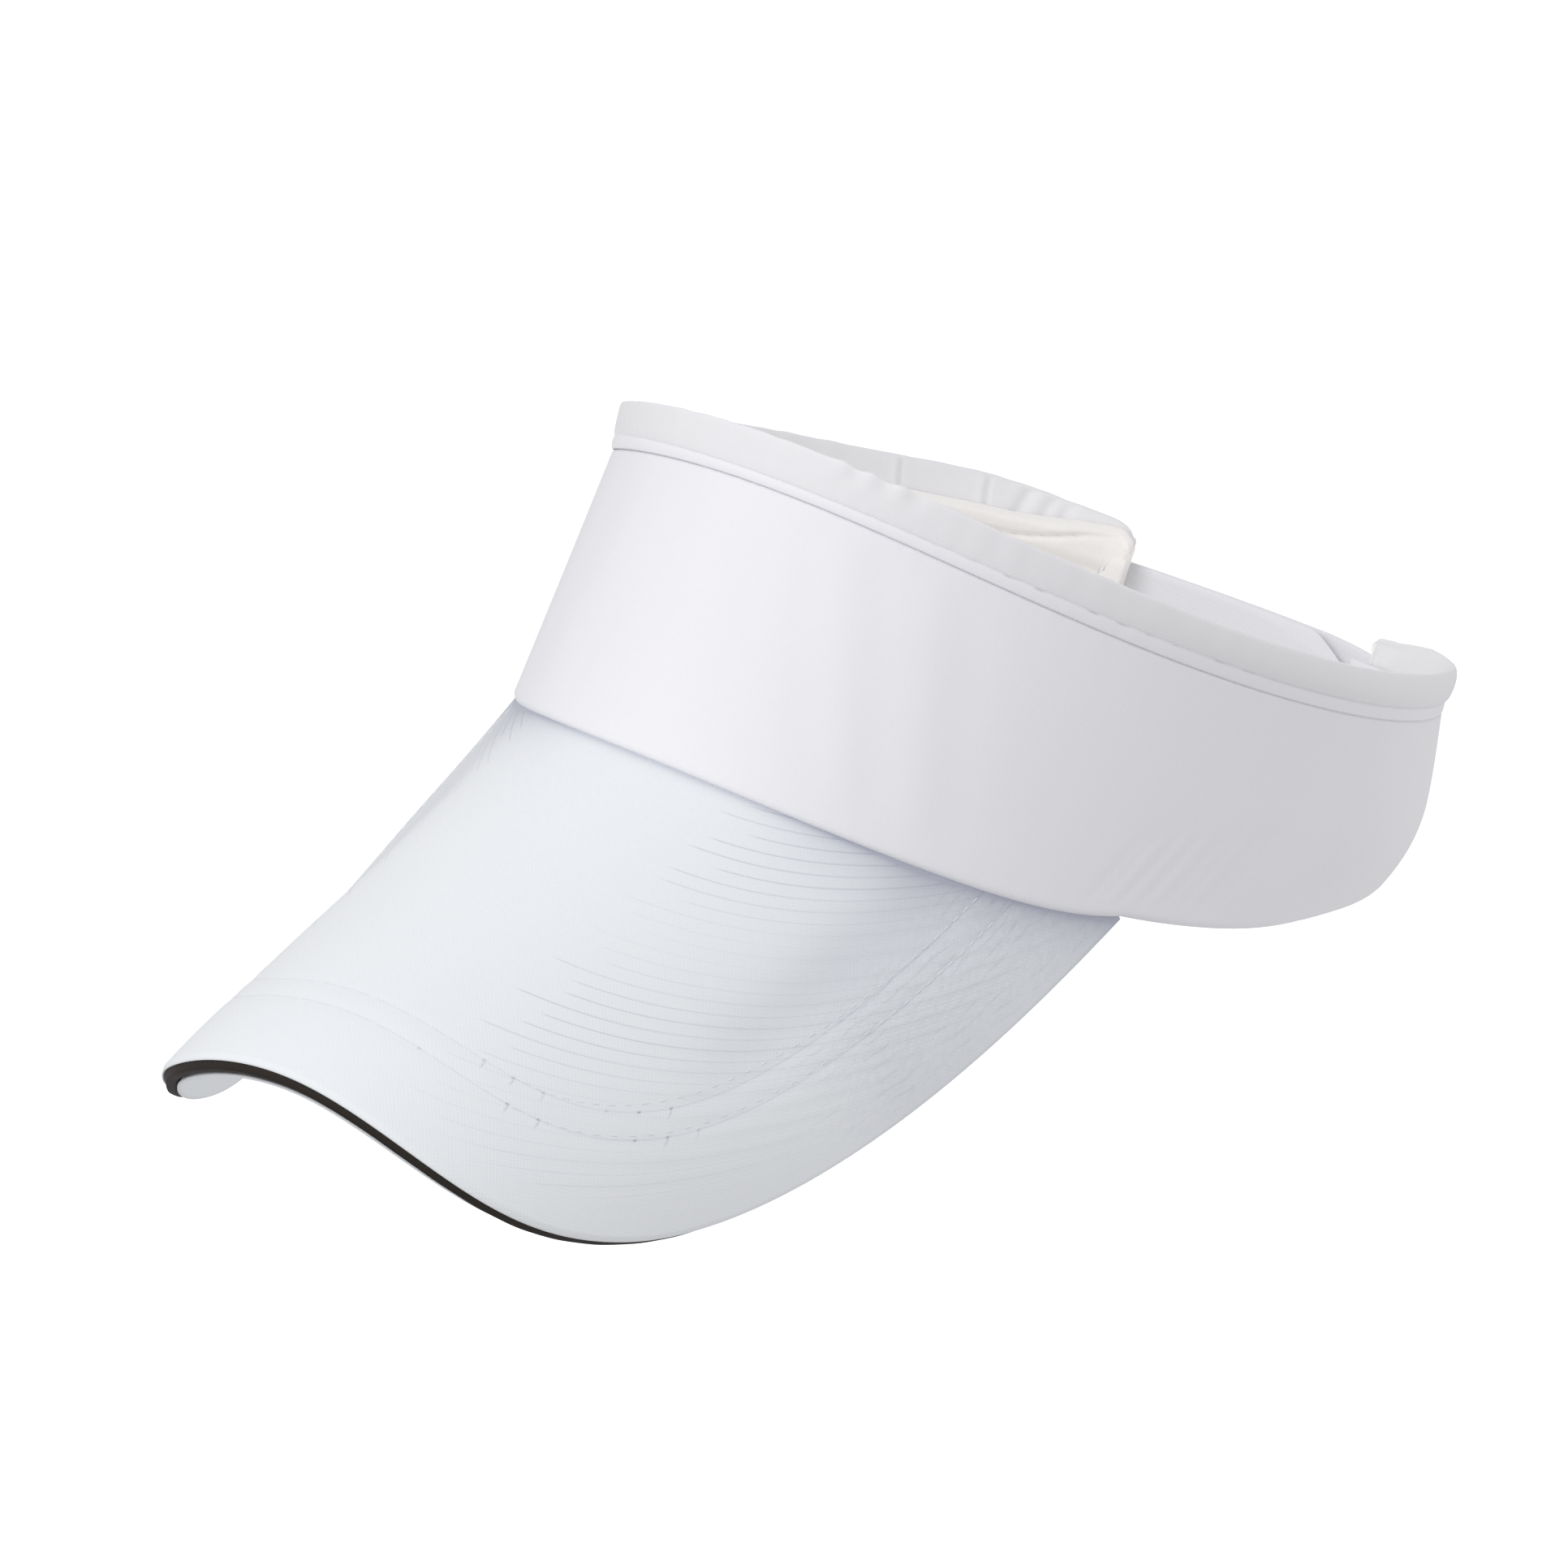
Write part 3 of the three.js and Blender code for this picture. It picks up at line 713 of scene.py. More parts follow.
trim_cloth = fabric(
    "trim_cloth", (0.014, 0.010, 0.008, 1), (0.04, 0.03, 0.024, 1), thread=0.5, relief=0.12,
    roughness=0.7, sheen=0.05, mottle=0.7,
)
sweat_cloth = towelling("sweat_cloth", CREAM, CREAM_SHADE)
white_thread = twisted_thread("white_thread", WHITE, WHITE_SHADE)
cream_thread = twisted_thread("cream_thread", CREAM, CREAM_SHADE)
loop_pile = towelling("loop_pile", GREY_WHITE, GREY_SHADE)
hook_plastic = fabric("hook_nylon", WHITE, WHITE_SHADE, thread=0.4, relief=0.05, roughness=0.45, sheen=0.0)

HIDDEN_MATERIALS = {
    "brim_board": fabric(
        "board_plastic", COOL, COOL_SHADE, thread=1.5, relief=0.03, roughness=0.5, on_cloth=False,
    ),
    "crown_buckram": fabric("buckram", WHITE, CREAM_SHADE, thread=1.2, relief=0.2, on_cloth=False),
    "crown_lining": fabric("lining_cloth", WHITE, WHITE_SHADE, on_cloth=False),
    "sweatband_foam": fabric("foam", CREAM, CREAM_SHADE, thread=1.8, fuzz=0.2, on_cloth=False),
    "brim_seam_tape": fabric("seam_tape", WHITE, WHITE_SHADE, thread=0.8, relief=0.1, on_cloth=False),
}


def finish_cad_nodes():
    for node, material in HIDDEN_MATERIALS.items():
        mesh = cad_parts[node].data
        mesh.materials.clear()
        mesh.materials.append(material)


# ---- the crown's outer panel ----

# Soft drapes below the binding: angle at the top and bottom of each, width in degrees, depth in mm.
DRAPES = [
    (6, 20, 2.6, -0.16), (12, 25, 2.2, 0.12), (18, 29, 2.6, -0.2), (25, 34, 2.4, 0.14),
    (31, 38, 2.8, -0.16), (-14, -22, 3.0, -0.16), (-24, -30, 2.6, 0.12), (-33, -38, 3.0, -0.16),
]
# Tension wrinkles at the temples: foot angle, then how far and how high each runs.
WRINKLE_FEET = [54.0, 55.6, 58.3, 60.9, 64.1, 66.2, 69.3, 71.5]
WRINKLE_LEAN = 0.36     # degrees for each millimetre up
WRINKLE_TOP = 21.0


def slackness(angle):
    """0 where the brim or the end bindings hold the wall flat, 1 between them."""
    turn = np.abs(np.degrees(angle))
    return smooth(turn, 72.0, 104.0) * fade(turn, 136.0, 154.0)


def curl_in(angle, height):
    """How far the wall turns inwards near its lower edge, behind the brim."""
    level = np.clip((height - bottom_edge(angle)) / (seam(angle) - bottom_edge(angle)), 0.0, 1.0)
    return 3.4 * slackness(angle) * np.maximum(1.0 - level / 0.5, 0.0) ** 2


def crown_relief(angle, height):
    """How far the crown's cloth stands out from its smooth shape, in millimetres."""
    degrees = np.degrees(angle)
    room = seam(angle) - bottom_edge(angle)
    level = (height - bottom_edge(angle)) / room
    body = smooth(level, 0.0, 0.25) * fade(level, 0.86, 1.0)
    out = 0.12 * body * blotches(arc_length(angle) / 55.0, height / 40.0, 3)
    for top, foot, width, depth in DRAPES:
        centre = top + (foot - top) * (1.0 - level)
        out = out + depth * body * bump_at(degrees, centre, width)
    for index, foot in enumerate(WRINKLE_FEET):
        for side in (1, -1):
            rise = height - bottom_edge(angle)
            centre = side * (foot + WRINKLE_LEAN * rise)
            reach = smooth(rise, 1.0, 6.0) * fade(rise, 9.0 + 1.4 * index, WRINKLE_TOP)
            out = out - 0.22 * reach * bump_at(degrees, centre, 0.6 + 0.07 * index)
            out = out + 0.12 * reach * bump_at(degrees, centre + side * 1.15, 0.8)
    # behind the brim the wall has nothing to hold it flat, so it bellies out and curls in below
    belly = np.sin(math.pi * np.clip(level, 0.0, 1.0) ** 0.85)
    out = out + 1.4 * slackness(angle) * belly
    under_seam = np.exp(-np.maximum(seam(angle) - height, 0.0) / 3.0)
    out = out + 0.05 * under_seam * ripple(arc_length(angle) / 5.0, 5)
    over_brim = np.exp(-np.maximum(height - bottom_edge(angle), 0.0) / 2.5)
    out = out + 0.05 * over_brim * ripple(arc_length(angle) / 6.0, 6)
    # the cloth dips under the piping strip
    return out - 0.35 * smooth(height, seam(angle) - 0.8, seam(angle) - 0.2)


def add_crown_panel():
    fold = 1.45
    cloth = 0.5
    hem = 6.0
    angle = ring_angles(-RIGHT_END, LEFT_END, 0.9)[:, None]
    face_share = 1.0 - np.linspace(0.0, 1.0, 96) ** 1.5
    turn = np.linspace(0.0, math.pi, 12)[1:-1]
    hem_share = np.linspace(0.0, 1.0, 8)
    bottom = bottom_edge(angle)
    face_height = (bottom + fold) + face_share * (seam(angle) + 1.2 - bottom - fold)
    fold_height = bottom + fold - fold * np.sin(turn)
    hem_height = bottom + fold + hem_share * hem
    height = np.concatenate([face_height, fold_height, hem_height], axis=1)
    inset = np.concatenate([face_share * 0, fold - fold * np.cos(turn), hem_share * 0 + 2 * fold])
    relief = crown_relief(angle, height) * np.clip(1.0 - inset / fold, 0.0, 1.0) - curl_in(angle, height)
    away = np.concatenate([face_share * 0 + 1, np.cos(turn), hem_share * 0 - 1])
    down = np.concatenate([face_share * 0, np.sin(turn), hem_share * 0])
    outer = band_point(angle, height, relief - inset)
    inner = band_point(angle, height + cloth * down, relief - inset - cloth * away)
    # painted shade: a thin dark line along the groove under the piping strip, half as dark at the sides
    groove_shade = smooth(height, seam(angle) - 0.65, seam(angle) - 0.45)
    groove_shade = groove_shade * (0.2 - 0.1 * smooth(np.degrees(angle), 20.0, 60.0))
    place = side_by_side(arc_length(angle), height, groove_shade)
    panel = thick_sheet("crown_panel", outer, inner, place, crown_cloth, ["crown_outer_panel"])


# ---- the top binding ----

# Corners of the folded binding's section, (outwards, up) from the top edge: from its outer foot over the
# fold, and down the inside to the hem.
FOLD_INSIDE = [
    (-2.2, -3.2), (-3.2, -5.2), (-3.5, -6.4), (-3.2, -6.8), (-3.75, -7.3), (-3.9, -8.6), (-3.4, -8.9),
]
CRISP_FOLD = [
    (-0.1, -6.75), (0.3, -6.6), (0.5, -6.1), (0.55, -4.6), (0.5, -2.6),
    (0.4, -1.0), (0.25, -0.15), (-0.25, 0.12), (-0.9, -0.15), (-1.5, -1.3),
] + FOLD_INSIDE
ROUND_FOLD = [
    (-0.1, -6.75), (0.3, -6.6), (0.62, -6.1), (0.9, -5.0), (0.86, -3.6), (0.5, -2.1),
    (-0.1, -0.7), (-0.7, 0.08), (-1.2, -0.15), (-1.6, -1.3),
] + FOLD_INSIDE
CREST_SHARE = 0.45      # how far along the section its top lies
GROOVE_AT = -6.6        # level of the outer foot
BINDING_CLOTH = 0.6
# Angles in degrees of the seams and wrinkles inside, and of the kinks in the folded edge.
FAR_SEAMS = (-129.0, -141.8)
FAR_WRINKLES = (-147.0, -150.5, -153.0)
EDGE_KINKS = (9.5, 13.5, 18.0)
# The rear corners' length and depth, and the gentle rises before them: angle, width, height.
CORNERS = {"left": (1.8, 1.2), "right": (5.4, 2.9)}
END_RISES = ((141.0, 9.0, 1.2), (-143.0, 13.0, 1.5))


def strip_height(angle):
    """Height of the piping strip under the binding. It is deeper towards the back."""
    return 1.6 + 0.9 * smooth(np.abs(np.degrees(angle)), 0.0, 60.0)


def corner_drop(angle):
    """How far the top edge is rounded down at the band's rear ends, after rising a little before them."""
    degrees = np.degrees(angle)
    rooms = {"left": LEFT_END - degrees, "right": degrees + RIGHT_END}
    drop = 0.0
    for centre, width, rise in END_RISES:
        drop = drop - rise * bump_at(degrees, centre, width)
    for side, (length, depth) in CORNERS.items():
        t = np.clip(1.0 - np.radians(rooms[side]) * BAND_HALF_WIDTH / length, 0.0, 0.985)
        drop = drop + depth * (1.0 - np.sqrt(1.0 - t * t))
    return drop


def binding_height(angle, level):
    """Moves the section's outer foot to the top of the piping strip, and rounds off the rear corners."""
    strip = strip_height(angle)
    low = -BINDING_HEIGHT + (level + BINDING_HEIGHT) * strip / (GROOVE_AT + BINDING_HEIGHT)
    high = level * (BINDING_HEIGHT - strip) / -GROOVE_AT
    squeeze = 1.0 - corner_drop(angle) / BINDING_HEIGHT
    return (np.where(level < GROOVE_AT, low, high) + BINDING_HEIGHT) * squeeze - BINDING_HEIGHT


def binding_relief(angle, level, share):
    """Puckers along the foot, a slow waviness of the folded edge, and seams and folds inside."""
    s = arc_length(angle)
    degrees = np.degrees(angle)
    foot = bump_at(level, GROOVE_AT, 1.8)
    top = smooth(level, -4.0, 0.0)
    calm = fade(degrees, 100.0, 130.0)
    out = 0.06 * foot * ripple(s / 4.2, 8) + 0.10 * top * calm * ripple(s / 17.0, 9)
    for at in EDGE_KINKS:
        out = out + top * 0.38 * (bump_at(degrees, at, 1.3) - bump_at(degrees, at + 2.2, 1.5))
    out = out + 0.08 * ripple(s / 9.0, 10) * smooth(level, -8.0, -3.0)
    inside = smooth(share, CREST_SHARE, CREST_SHARE + 0.06)
    for at in FAR_SEAMS:
        out = out + inside * (0.25 * bump_at(degrees, at + 0.8, 0.5) - 0.45 * bump_at(degrees, at, 0.25))
    for index, at in enumerate(FAR_WRINKLES):
        out = out - (0.85 - 0.15 * index) * inside * bump_at(degrees, at - 0.25 * (level + 4.0), 0.9)
    return out


def binding_section(angle, count):
    """Offset, level and outward normal along the folded binding's section at each angle.

    The fold is crisp in front and on the wearer's right. On the left it is rounder, leans
    outwards, and closes up at the end.
    """
    degrees = np.degrees(angle)
    roundness = smooth(degrees, 20.0, 90.0)
    crisp = path(CRISP_FOLD, count)
    full = path(ROUND_FOLD, count)
    crisp_normal = -path_normals(crisp)
    full_normal = -path_normals(full)
    offset, level = (crisp[:, k] + (full[:, k] - crisp[:, k]) * roundness for k in (0, 1))
    normal = [crisp_normal[:, k] + (full_normal[:, k] - crisp_normal[:, k]) * roundness for k in (0, 1)]
    inside = smooth(np.linspace(0.0, 1.0, count), CREST_SHARE, CREST_SHARE + 0.1)
    closing = 1.0 - 0.55 * inside * smooth(degrees, 136.0, 153.0)
    lean = 1.5 * (level + BINDING_HEIGHT) / BINDING_HEIGHT - 0.6 * bump_at(level, -4.8, 2.2)
    return offset * closing + lean * smooth(degrees, 100.0, 140.0), level, normal


def slanted(angle, level):
    """The left rear end is cut on a slant, so the binding reaches furthest at its fold."""
    return angle - math.radians(2.4) * smooth(np.degrees(angle), 144.0, 155.0) * smooth(-level, 0.0, 7.0)


def add_top_binding():
    count = 72
    angle = ring_angles(-RIGHT_END, LEFT_END, 0.8)[:, None]
    offset, level, normal = binding_section(angle, count)
    share = np.linspace(0.0, 1.0, count)[None, :]
    puff = binding_relief(angle, level, share)
    grids = []
    for depth in (0.0, -BINDING_CLOTH):
        shift = puff + depth
        height = top_edge(angle) + binding_height(angle, level) + shift * normal[1]
        grids.append(band_point(slanted(angle, level), height, offset + shift * normal[0]))
    place = side_by_side(arc_length(angle), share * 22.0)
    binding = thick_sheet("folded_binding", *grids, place, binding_cloth, ["top_binding"])


def add_piping_strip():
    """The bright strip of the crown's own cloth, turned out under the binding."""
    angle = ring_angles(-RIGHT_END, LEFT_END, 0.9)[:, None]
    share = np.linspace(0.0, 1.0, 22)[None, :]
    height = seam(angle) - 0.05 + share * (strip_height(angle) + 0.25)
    fullness = 0.50 - 0.35 * smooth(np.degrees(angle), 20.0, 110.0)
    puff = fullness * np.sqrt(np.clip(1.0 - (2.0 * share - 0.85) ** 2 * 0.75, 0.0, 1.0))
    puff = puff + 0.05 * ripple(arc_length(angle) / 5.0, 12)
    outer = band_point(angle, height, puff)
    inner = band_point(angle, height, puff - 0.5)
    # painted shade on the strip's upper part, under the binding's foot: faint in front, broken and uneven
    # further round, even at the sides, fainter towards the back
    uneven = smooth(ripple(arc_length(angle) / 7.0, 15), 0.1, 0.5)
    uneven = uneven + (0.5 - uneven) * smooth(np.degrees(angle), 50.0, 80.0)
    strength = 0.1 + 0.5 * uneven * smooth(np.degrees(angle), 12.0, 40.0)
    shade_under_binding = strength * (1.0 - 0.6 * smooth(np.degrees(angle), 90.0, 150.0)) * smooth(share, 0.72, 0.9)
    place = side_by_side(arc_length(angle), height, shade_under_binding)
    thick_sheet("piping_strip", outer, inner, place, strip_cloth)


def add_binding_stitches():
    """Fine stitches just above the strip."""
    angle = ring_angles(-RIGHT_END + 1, LEFT_END - 1, 2.9)
    height = seam(angle) + strip_height(angle) + 0.75
    spots = on_wall(angle, height, 0.2)
    stitches("binding_stitches", *spots, 2.1, 0.12, white_thread, ["top_binding_stitch"])


# ---- the sweatband ----

PAD = 3.2           # its full thickness, in millimetres
THIN = 0.6          # and at its edges
LOWER_ROW = 5.0     # height of the lower row of stitches over its lower edge


def roll_height(angle):
    """Height of the sweatband's rolled edge. It narrows towards the right rear end."""
    return 4.3 - 1.8 * smooth(-np.degrees(angle), 146.0, 161.0)


def sweatband_top(angle):
    """On the wearer's right the rolled edge climbs to the top edge towards the end."""
    turn = -np.degrees(angle)
    drop = 9.6 - 3.8 * smooth(turn, 95, 132) - 1.2 * smooth(turn, 128, 148) - 3.4 * smooth(turn, 144, 163)
    return top_edge(angle) - np.maximum(drop, corner_drop(angle) + 0.8)


def layer_lift(angle, height):
    """How far the binding's inner side pushes the sweatband inwards, less towards the thin top edge."""
    pushed = 0.8 * smooth(height, seam(angle) - 3.0, seam(angle) - 0.5)
    return pushed - 1.7 * smooth(height, seam(angle) + 2.5, seam(angle) + 8.0)


def end_taper(angle):
    """Share of the padding left: 0.3 at the band's rear ends, and all of it a little way in."""
    degrees = np.degrees(angle)
    room = np.minimum(degrees + RIGHT_END, LEFT_END - degrees)
    return 0.3 + 0.7 * smooth(room, 1.0, 11.0)


def sweatband_back(angle, height):
    """Offset of the sweatband's back, which follows the wall and the binding's inner side."""
    return -3.15 - layer_lift(angle, height) - curl_in(angle, height)


def add_sweatband():
    angle = ring_angles(-RIGHT_END - 0.3, LEFT_END - 0.6, 1.0)[:, None]
    low = bottom_edge(angle) + 1.6
    high = sweatband_top(angle)
    roll = roll_height(angle)
    roll_share = np.linspace(0.0, 1.0, 16)
    face_share = np.linspace(0.0, 1.0, 46)[1:]
    roll_level = high - roll * roll_share
    face_height = high - roll - face_share * (high - roll - low)
    height = np.concatenate([roll_level, face_height], axis=1)
    from_top = high - height
    from_low = height - low
    edges = np.minimum(quarter_round(from_top, 1.5), quarter_round(from_low, 1.6))
    pad = PAD + 0.4 * bump_at(from_top, 1.7, 1.4) - 1.1 * bump_at(from_top, roll, 0.55)
    pad = pad - 0.9 * bump_at(from_low, LOWER_ROW, 0.6)
    s = arc_length(angle)
    pad = pad + 0.35 * blotches(s / 30.0, height / 22.0, 21) * smooth(from_top, 4.0, 9.0)
    pad = pad + 0.16 * ripple(s / 6.0, 22) * bump_at(from_top, roll, 2.2)
    pad = pad + 0.16 * ripple(s / 7.0, 23) * bump_at(from_low, LOWER_ROW, 2.5)
    thickness = THIN + (pad - THIN) * edges * end_taper(angle)
    wall = sweatband_back(angle, height)
    outer = band_point(angle, height, wall)
    inner = band_point(angle, height, wall - thickness)
    place = side_by_side(s, height)
    band = thick_sheet(
        "sweatband", outer, inner, place, sweat_cloth, ["sweatband_cover"], slot="cream_cloth",
    )
    for name, where, depth in (("upper", high - roll, 2.15), ("lower", low + LOWER_ROW, 2.35)):
        at = ring_angles(-RIGHT_END + 8, LEFT_END - 8, 3.4)
        height_here = np.interp(at, angle[:, 0], where[:, 0])
        inset = sweatband_back(at, height_here) - THIN - (depth - THIN) * end_taper(at)
        spots = on_wall(at, height_here, inset, -1.0)
        stitches(f"sweatband_stitches_{name}", *spots, 2.6, 0.13, cream_thread)


# ---- the brim ----

BRIM_STACK = 3.9        # depth of the lower cover's inner face under the brim's top
COVER = 0.5             # thickness of either cover
TRIM_DEPTH = 2.1        # depth of the trim's middle
BRIM_STITCH_PITCH = 3.3


def edge_distance(across, along):
    """How far a point of the pattern is inside the brim's outer edge."""
    polar = np.arctan2(across, along - BRIM_WIDEST_AT)
    edge = brim_edge(polar)
    step = 0.01
    tangent = unit(brim_edge(polar + step) - brim_edge(polar - step))
    gap_x = edge[..., 0] - across
    gap_y = edge[..., 1] - along
    return np.abs(gap_x * -tangent[..., 1] + gap_y * tangent[..., 0])


def brim_relief(across, along):
    """How far the upper cover stands out from its smooth shape, and how much shadow lies on it."""
    inset = edge_distance(across, along)
    side = np.abs(across)
    # gathered terraces between the fine creases
    run = along + CREASE_BEND * side**CREASE_POWER
    gathered = smooth(across, 24.0, 44.0) * smooth(inset, 4.0, 12.0)
    out = 0.03 * gathered * np.sin(2.0 * math.pi * run / (2.0 * CREASE_SPACING))
    for row in STITCH_ROWS.values():
        out = out - 0.10 * bump_at(inset, row, 1.3)
    side_fold = bump_at(side, 50.0, 7.0)
    out = out - 0.8 * side_fold * smooth(along, -12.0, 12.0) * fade(along, 30.0, 60.0)
    out = out + 0.16 * blotches(across / 48.0, along / 52.0, 36) * smooth(inset, 2.0, 20.0)
    # the cover rolls over at its edge
    out = out - 0.35 * fade(inset, 0.0, 0.8)
    # the band's lower edge stands over the brim and shades it, most at the sides
    root = brim_inner_edge(np.clip(across / TEMPLE_CORNER[0], -1.0, 1.0))[..., 1]
    beyond = np.maximum(along - root, 0.0)
    shadow = 0.72 * np.exp(-beyond / 6.5) * smooth(side, 14.0, 50.0) + 0.5 * np.exp(-beyond / 0.9)
    shadow = shadow + 0.16 * smooth(side, 40.0, 56.0) * fade(along, 5.0, 30.0)
    # painted shade over the broad fold at the sides, on top of its real dip
    fold = side_fold * smooth(along, -30.0, -8.0) * fade(along, 22.0, 55.0)
    return out, np.clip(shadow + 0.15 * fold, 0.0, 0.9)


def brim_grid(columns, rows, outer_inset, tuck=BRIM_TUCK):
    """Flat-pattern points over the whole brim, from the inner edge to an inset from the outer one."""
    share = np.linspace(-1.0, 1.0, columns)
    inner = brim_inner_edge(share * 0.99, tuck)[:, None]
    outer = inset_edge(share * TEMPLE_POLAR, outer_inset)[:, None]
    step = np.linspace(0.0, 1.0, rows)
    step = (step - 0.055 * np.sin(2.0 * math.pi * step))[None, :, None]
    return inner + (outer - inner) * step


def add_brim_upper():
    pattern = brim_grid(400, 250, 0.0, tuck=-1.7)
    across, along = pattern[..., 0], pattern[..., 1]
    relief, shadow = brim_relief(across, along)
    run = np.arctan2(across, along - BRIM_WIDEST_AT) * BRIM_ARC
    place = np.stack([across, along, shadow, edge_distance(across, along), run], axis=-1)
    cover = thick_sheet(
        "brim_upper", brim_point(across, along, -relief), brim_point(across, along, COVER - relief),
        place, creased_cloth, ["brim_upper_cover"],
    )


def add_brim_lower():
    pattern = brim_grid(200, 90, 0.35)
    across, along = pattern[..., 0], pattern[..., 1]
    relief = np.zeros_like(across)
    inset = edge_distance(across, along)
    for index, row in enumerate(STITCH_ROWS.values()):
        relief -= 0.15 * bump_at(inset, row, 0.6)
        relief += 0.05 * bump_at(inset, row, 2.0) * blotches(across / 5.0, along / 5.0, 50 + index)
    relief += 0.15 * blotches(across / 40.0, along / 40.0, 52)
    edge_lift = 0.5 * smooth(inset, 0.0, 5.0)
    upper = brim_point(across, along, BRIM_STACK - edge_lift)
    lower = brim_point(across, along, BRIM_STACK + COVER - edge_lift - relief)
    # behind its inner edge the cover turns up and goes in under the sweatband
    angle = np.linspace(-TEMPLE, TEMPLE, pattern.shape[0])[:, None]
    turned_up = []
    for grid, offset in ((upper, -3.0), (lower, -3.0 - COVER)):
        target = band_point(angle, bottom_edge(angle) + 2.4, offset)
        start = grid[:, :1]
        bowed = band_point(angle, bottom_edge(angle) - 2.6, offset)
        steps = np.linspace(0.0, 1.0, 9)[:-1][None, :, None]
        curve = (1 - steps) ** 2 * target + 2 * steps * (1 - steps) * bowed + steps**2 * start
        turned_up.append(np.concatenate([curve, grid], axis=1))
    place = np.concatenate([pattern[:, :1] - np.linspace(6, 1, 8)[None, :, None] * [0, 1], pattern], axis=1)
    cover = thick_sheet("brim_lower", *turned_up, place, brim_cloth, ["brim_lower_cover"])


def add_trim():
    """The dark strip sandwiched in the brim's edge."""
    polar = np.linspace(-TEMPLE_POLAR, TEMPLE_POLAR, 420)[:, None]
    width = np.linspace(0.0, 3.0, 10)
    half = 1.45 * (0.3 + 0.7 * quarter_round(width, 1.1))
    inset = width[None, :] - 0.35 + 0.06 * ripple(polar * BRIM_ARC / 9.0, 60)
    at = inset_edge(polar + width * 0, inset)
    top = brim_point(at[..., 0], at[..., 1], TRIM_DEPTH - half)
    under = brim_point(at[..., 0], at[..., 1], TRIM_DEPTH + half)
    place = side_by_side(polar * BRIM_ARC, width[None, :])
    thick_sheet("edge_trim", top, under, place, trim_cloth, ["sandwich_trim"], slot="dark_cloth")


def add_brim_stitches():
    for side, depth_sign in (("top", 1), ("under", -1)):
        for name, inset in STITCH_ROWS.items():
            reach = TEMPLE_POLAR * 0.8
            radius = 118.0
            count = int(2 * reach * radius / BRIM_STITCH_PITCH)
            polar = np.linspace(-reach, reach, count)
            at = inset_edge(polar, inset)
            nearby = inset_edge(polar + 0.002, inset)
            if side == "top":
                level = 0.06 - brim_relief(at[:, 0], at[:, 1])[0]
            else:
                level = np.full(count, BRIM_STACK - 0.1)
            places = brim_point(at[:, 0], at[:, 1], level)
            ways = unit(brim_point(nearby[:, 0], nearby[:, 1], level) - places)
            ups = unit(brim_point(at[:, 0], at[:, 1], level - depth_sign) - places)
            stands_for = [f"brim_stitch_{name}"] if side == "top" else []
            title = f"brim_stitches_{name}_{side}"
            stitches(title, places, ways, ups, 2.3, 0.09, white_thread, stands_for)


# ---- the rear ends ----

END_FACE = 0.75     # offset of the end bindings' outer face


def inner_leg(angle, height):
    """Offset of the end binding's inner face: just over the folded binding, and over the sweatband below."""
    level = height - top_edge(angle)
    hugging = -1.2 - 2.8 * smooth(-level, 0.0, 8.0)
    return hugging - 1.3 * smooth(sweatband_top(angle) + 0.5 - height, 0.0, 2.0)


def add_end_binding(name, side, end):
    """Cream binding wrapped round one rear end, a U in plan. side is +1 for the wearer's left."""
    # its plan, as (millimetres past the band's end, share of the way from the outer to the inner face)
    controls = [
        (-4.2, 0.0), (0.2, 0.0), (0.8, 0.05), (1.1, 0.2), (1.1, 0.8), (0.8, 1.0), (-0.2, 1.03), (-3.6, 1.0),
    ]
    wall = [1.0, 6.4]
    line = path(controls, 56)
    normal = path_normals(line * wall) / wall
    share = np.linspace(0.0, 1.0, 44)[None, :]
    grids = []
    for depth in (0.0, 0.5):
        spot = line + normal * depth
        angle = side * (math.radians(end) + spot[:, :1] / REAR_ARC)
        low = bottom_edge(angle) - 0.3
        inner_top = top_edge(angle) - (9.5 if side > 0 else 4.2)
        high = seam(angle) - 0.2 + (inner_top - seam(angle) + 0.2) * smooth(spot[:, 1:], 0.25, 0.6)
        height = low + (high - low) * share
        offset = END_FACE + spot[:, 1:] * (inner_leg(angle, height) - END_FACE)
        pucker = 0.10 * ripple(share * 8.0, 70) * bump_at(line[:, :1], -3.2, 1.2)
        grids.append(band_point(angle, height, offset + pucker))
    # painted shade: a dark line along the inner leg's edge, where the leg stands over the sweatband
    hem_edge_shade = 0.6 * smooth(-line[:, :1], 3.3, 3.6) * np.round(line[:, 1:])
    place = side_by_side(np.linspace(0, 18, len(line))[:, None], share * 26.0, hem_edge_shade)
    stands_for = [name.replace("_cover", "_binding")]
    binding = thick_sheet(name, *grids, place, hem_cloth, stands_for, slot="cream_cloth")
    add_end_stitches(f"{name}_stitches", side, end)


def add_end_stitches(name, side, end):
    angle = side * (math.radians(end) - 3.0 / REAR_ARC)
    height = np.arange(float(bottom_edge(angle)) + 1.0, float(seam(angle)) - 1.0, 2.6)
    rows = []
    for outwards in (1, -1):
        offset = END_FACE + 0.03 if outwards > 0 else inner_leg(angle, height) - 0.03
        places, _, ups = on_wall(angle, height, offset, outwards)
        rows.append((places, unit(band_point(angle, height + 1.0, offset) - places), ups))
    places, ways, ups = (np.concatenate(column) for column in zip(*rows))
    stitches(name, places, ways, ups, 1.6, 0.17, white_thread)


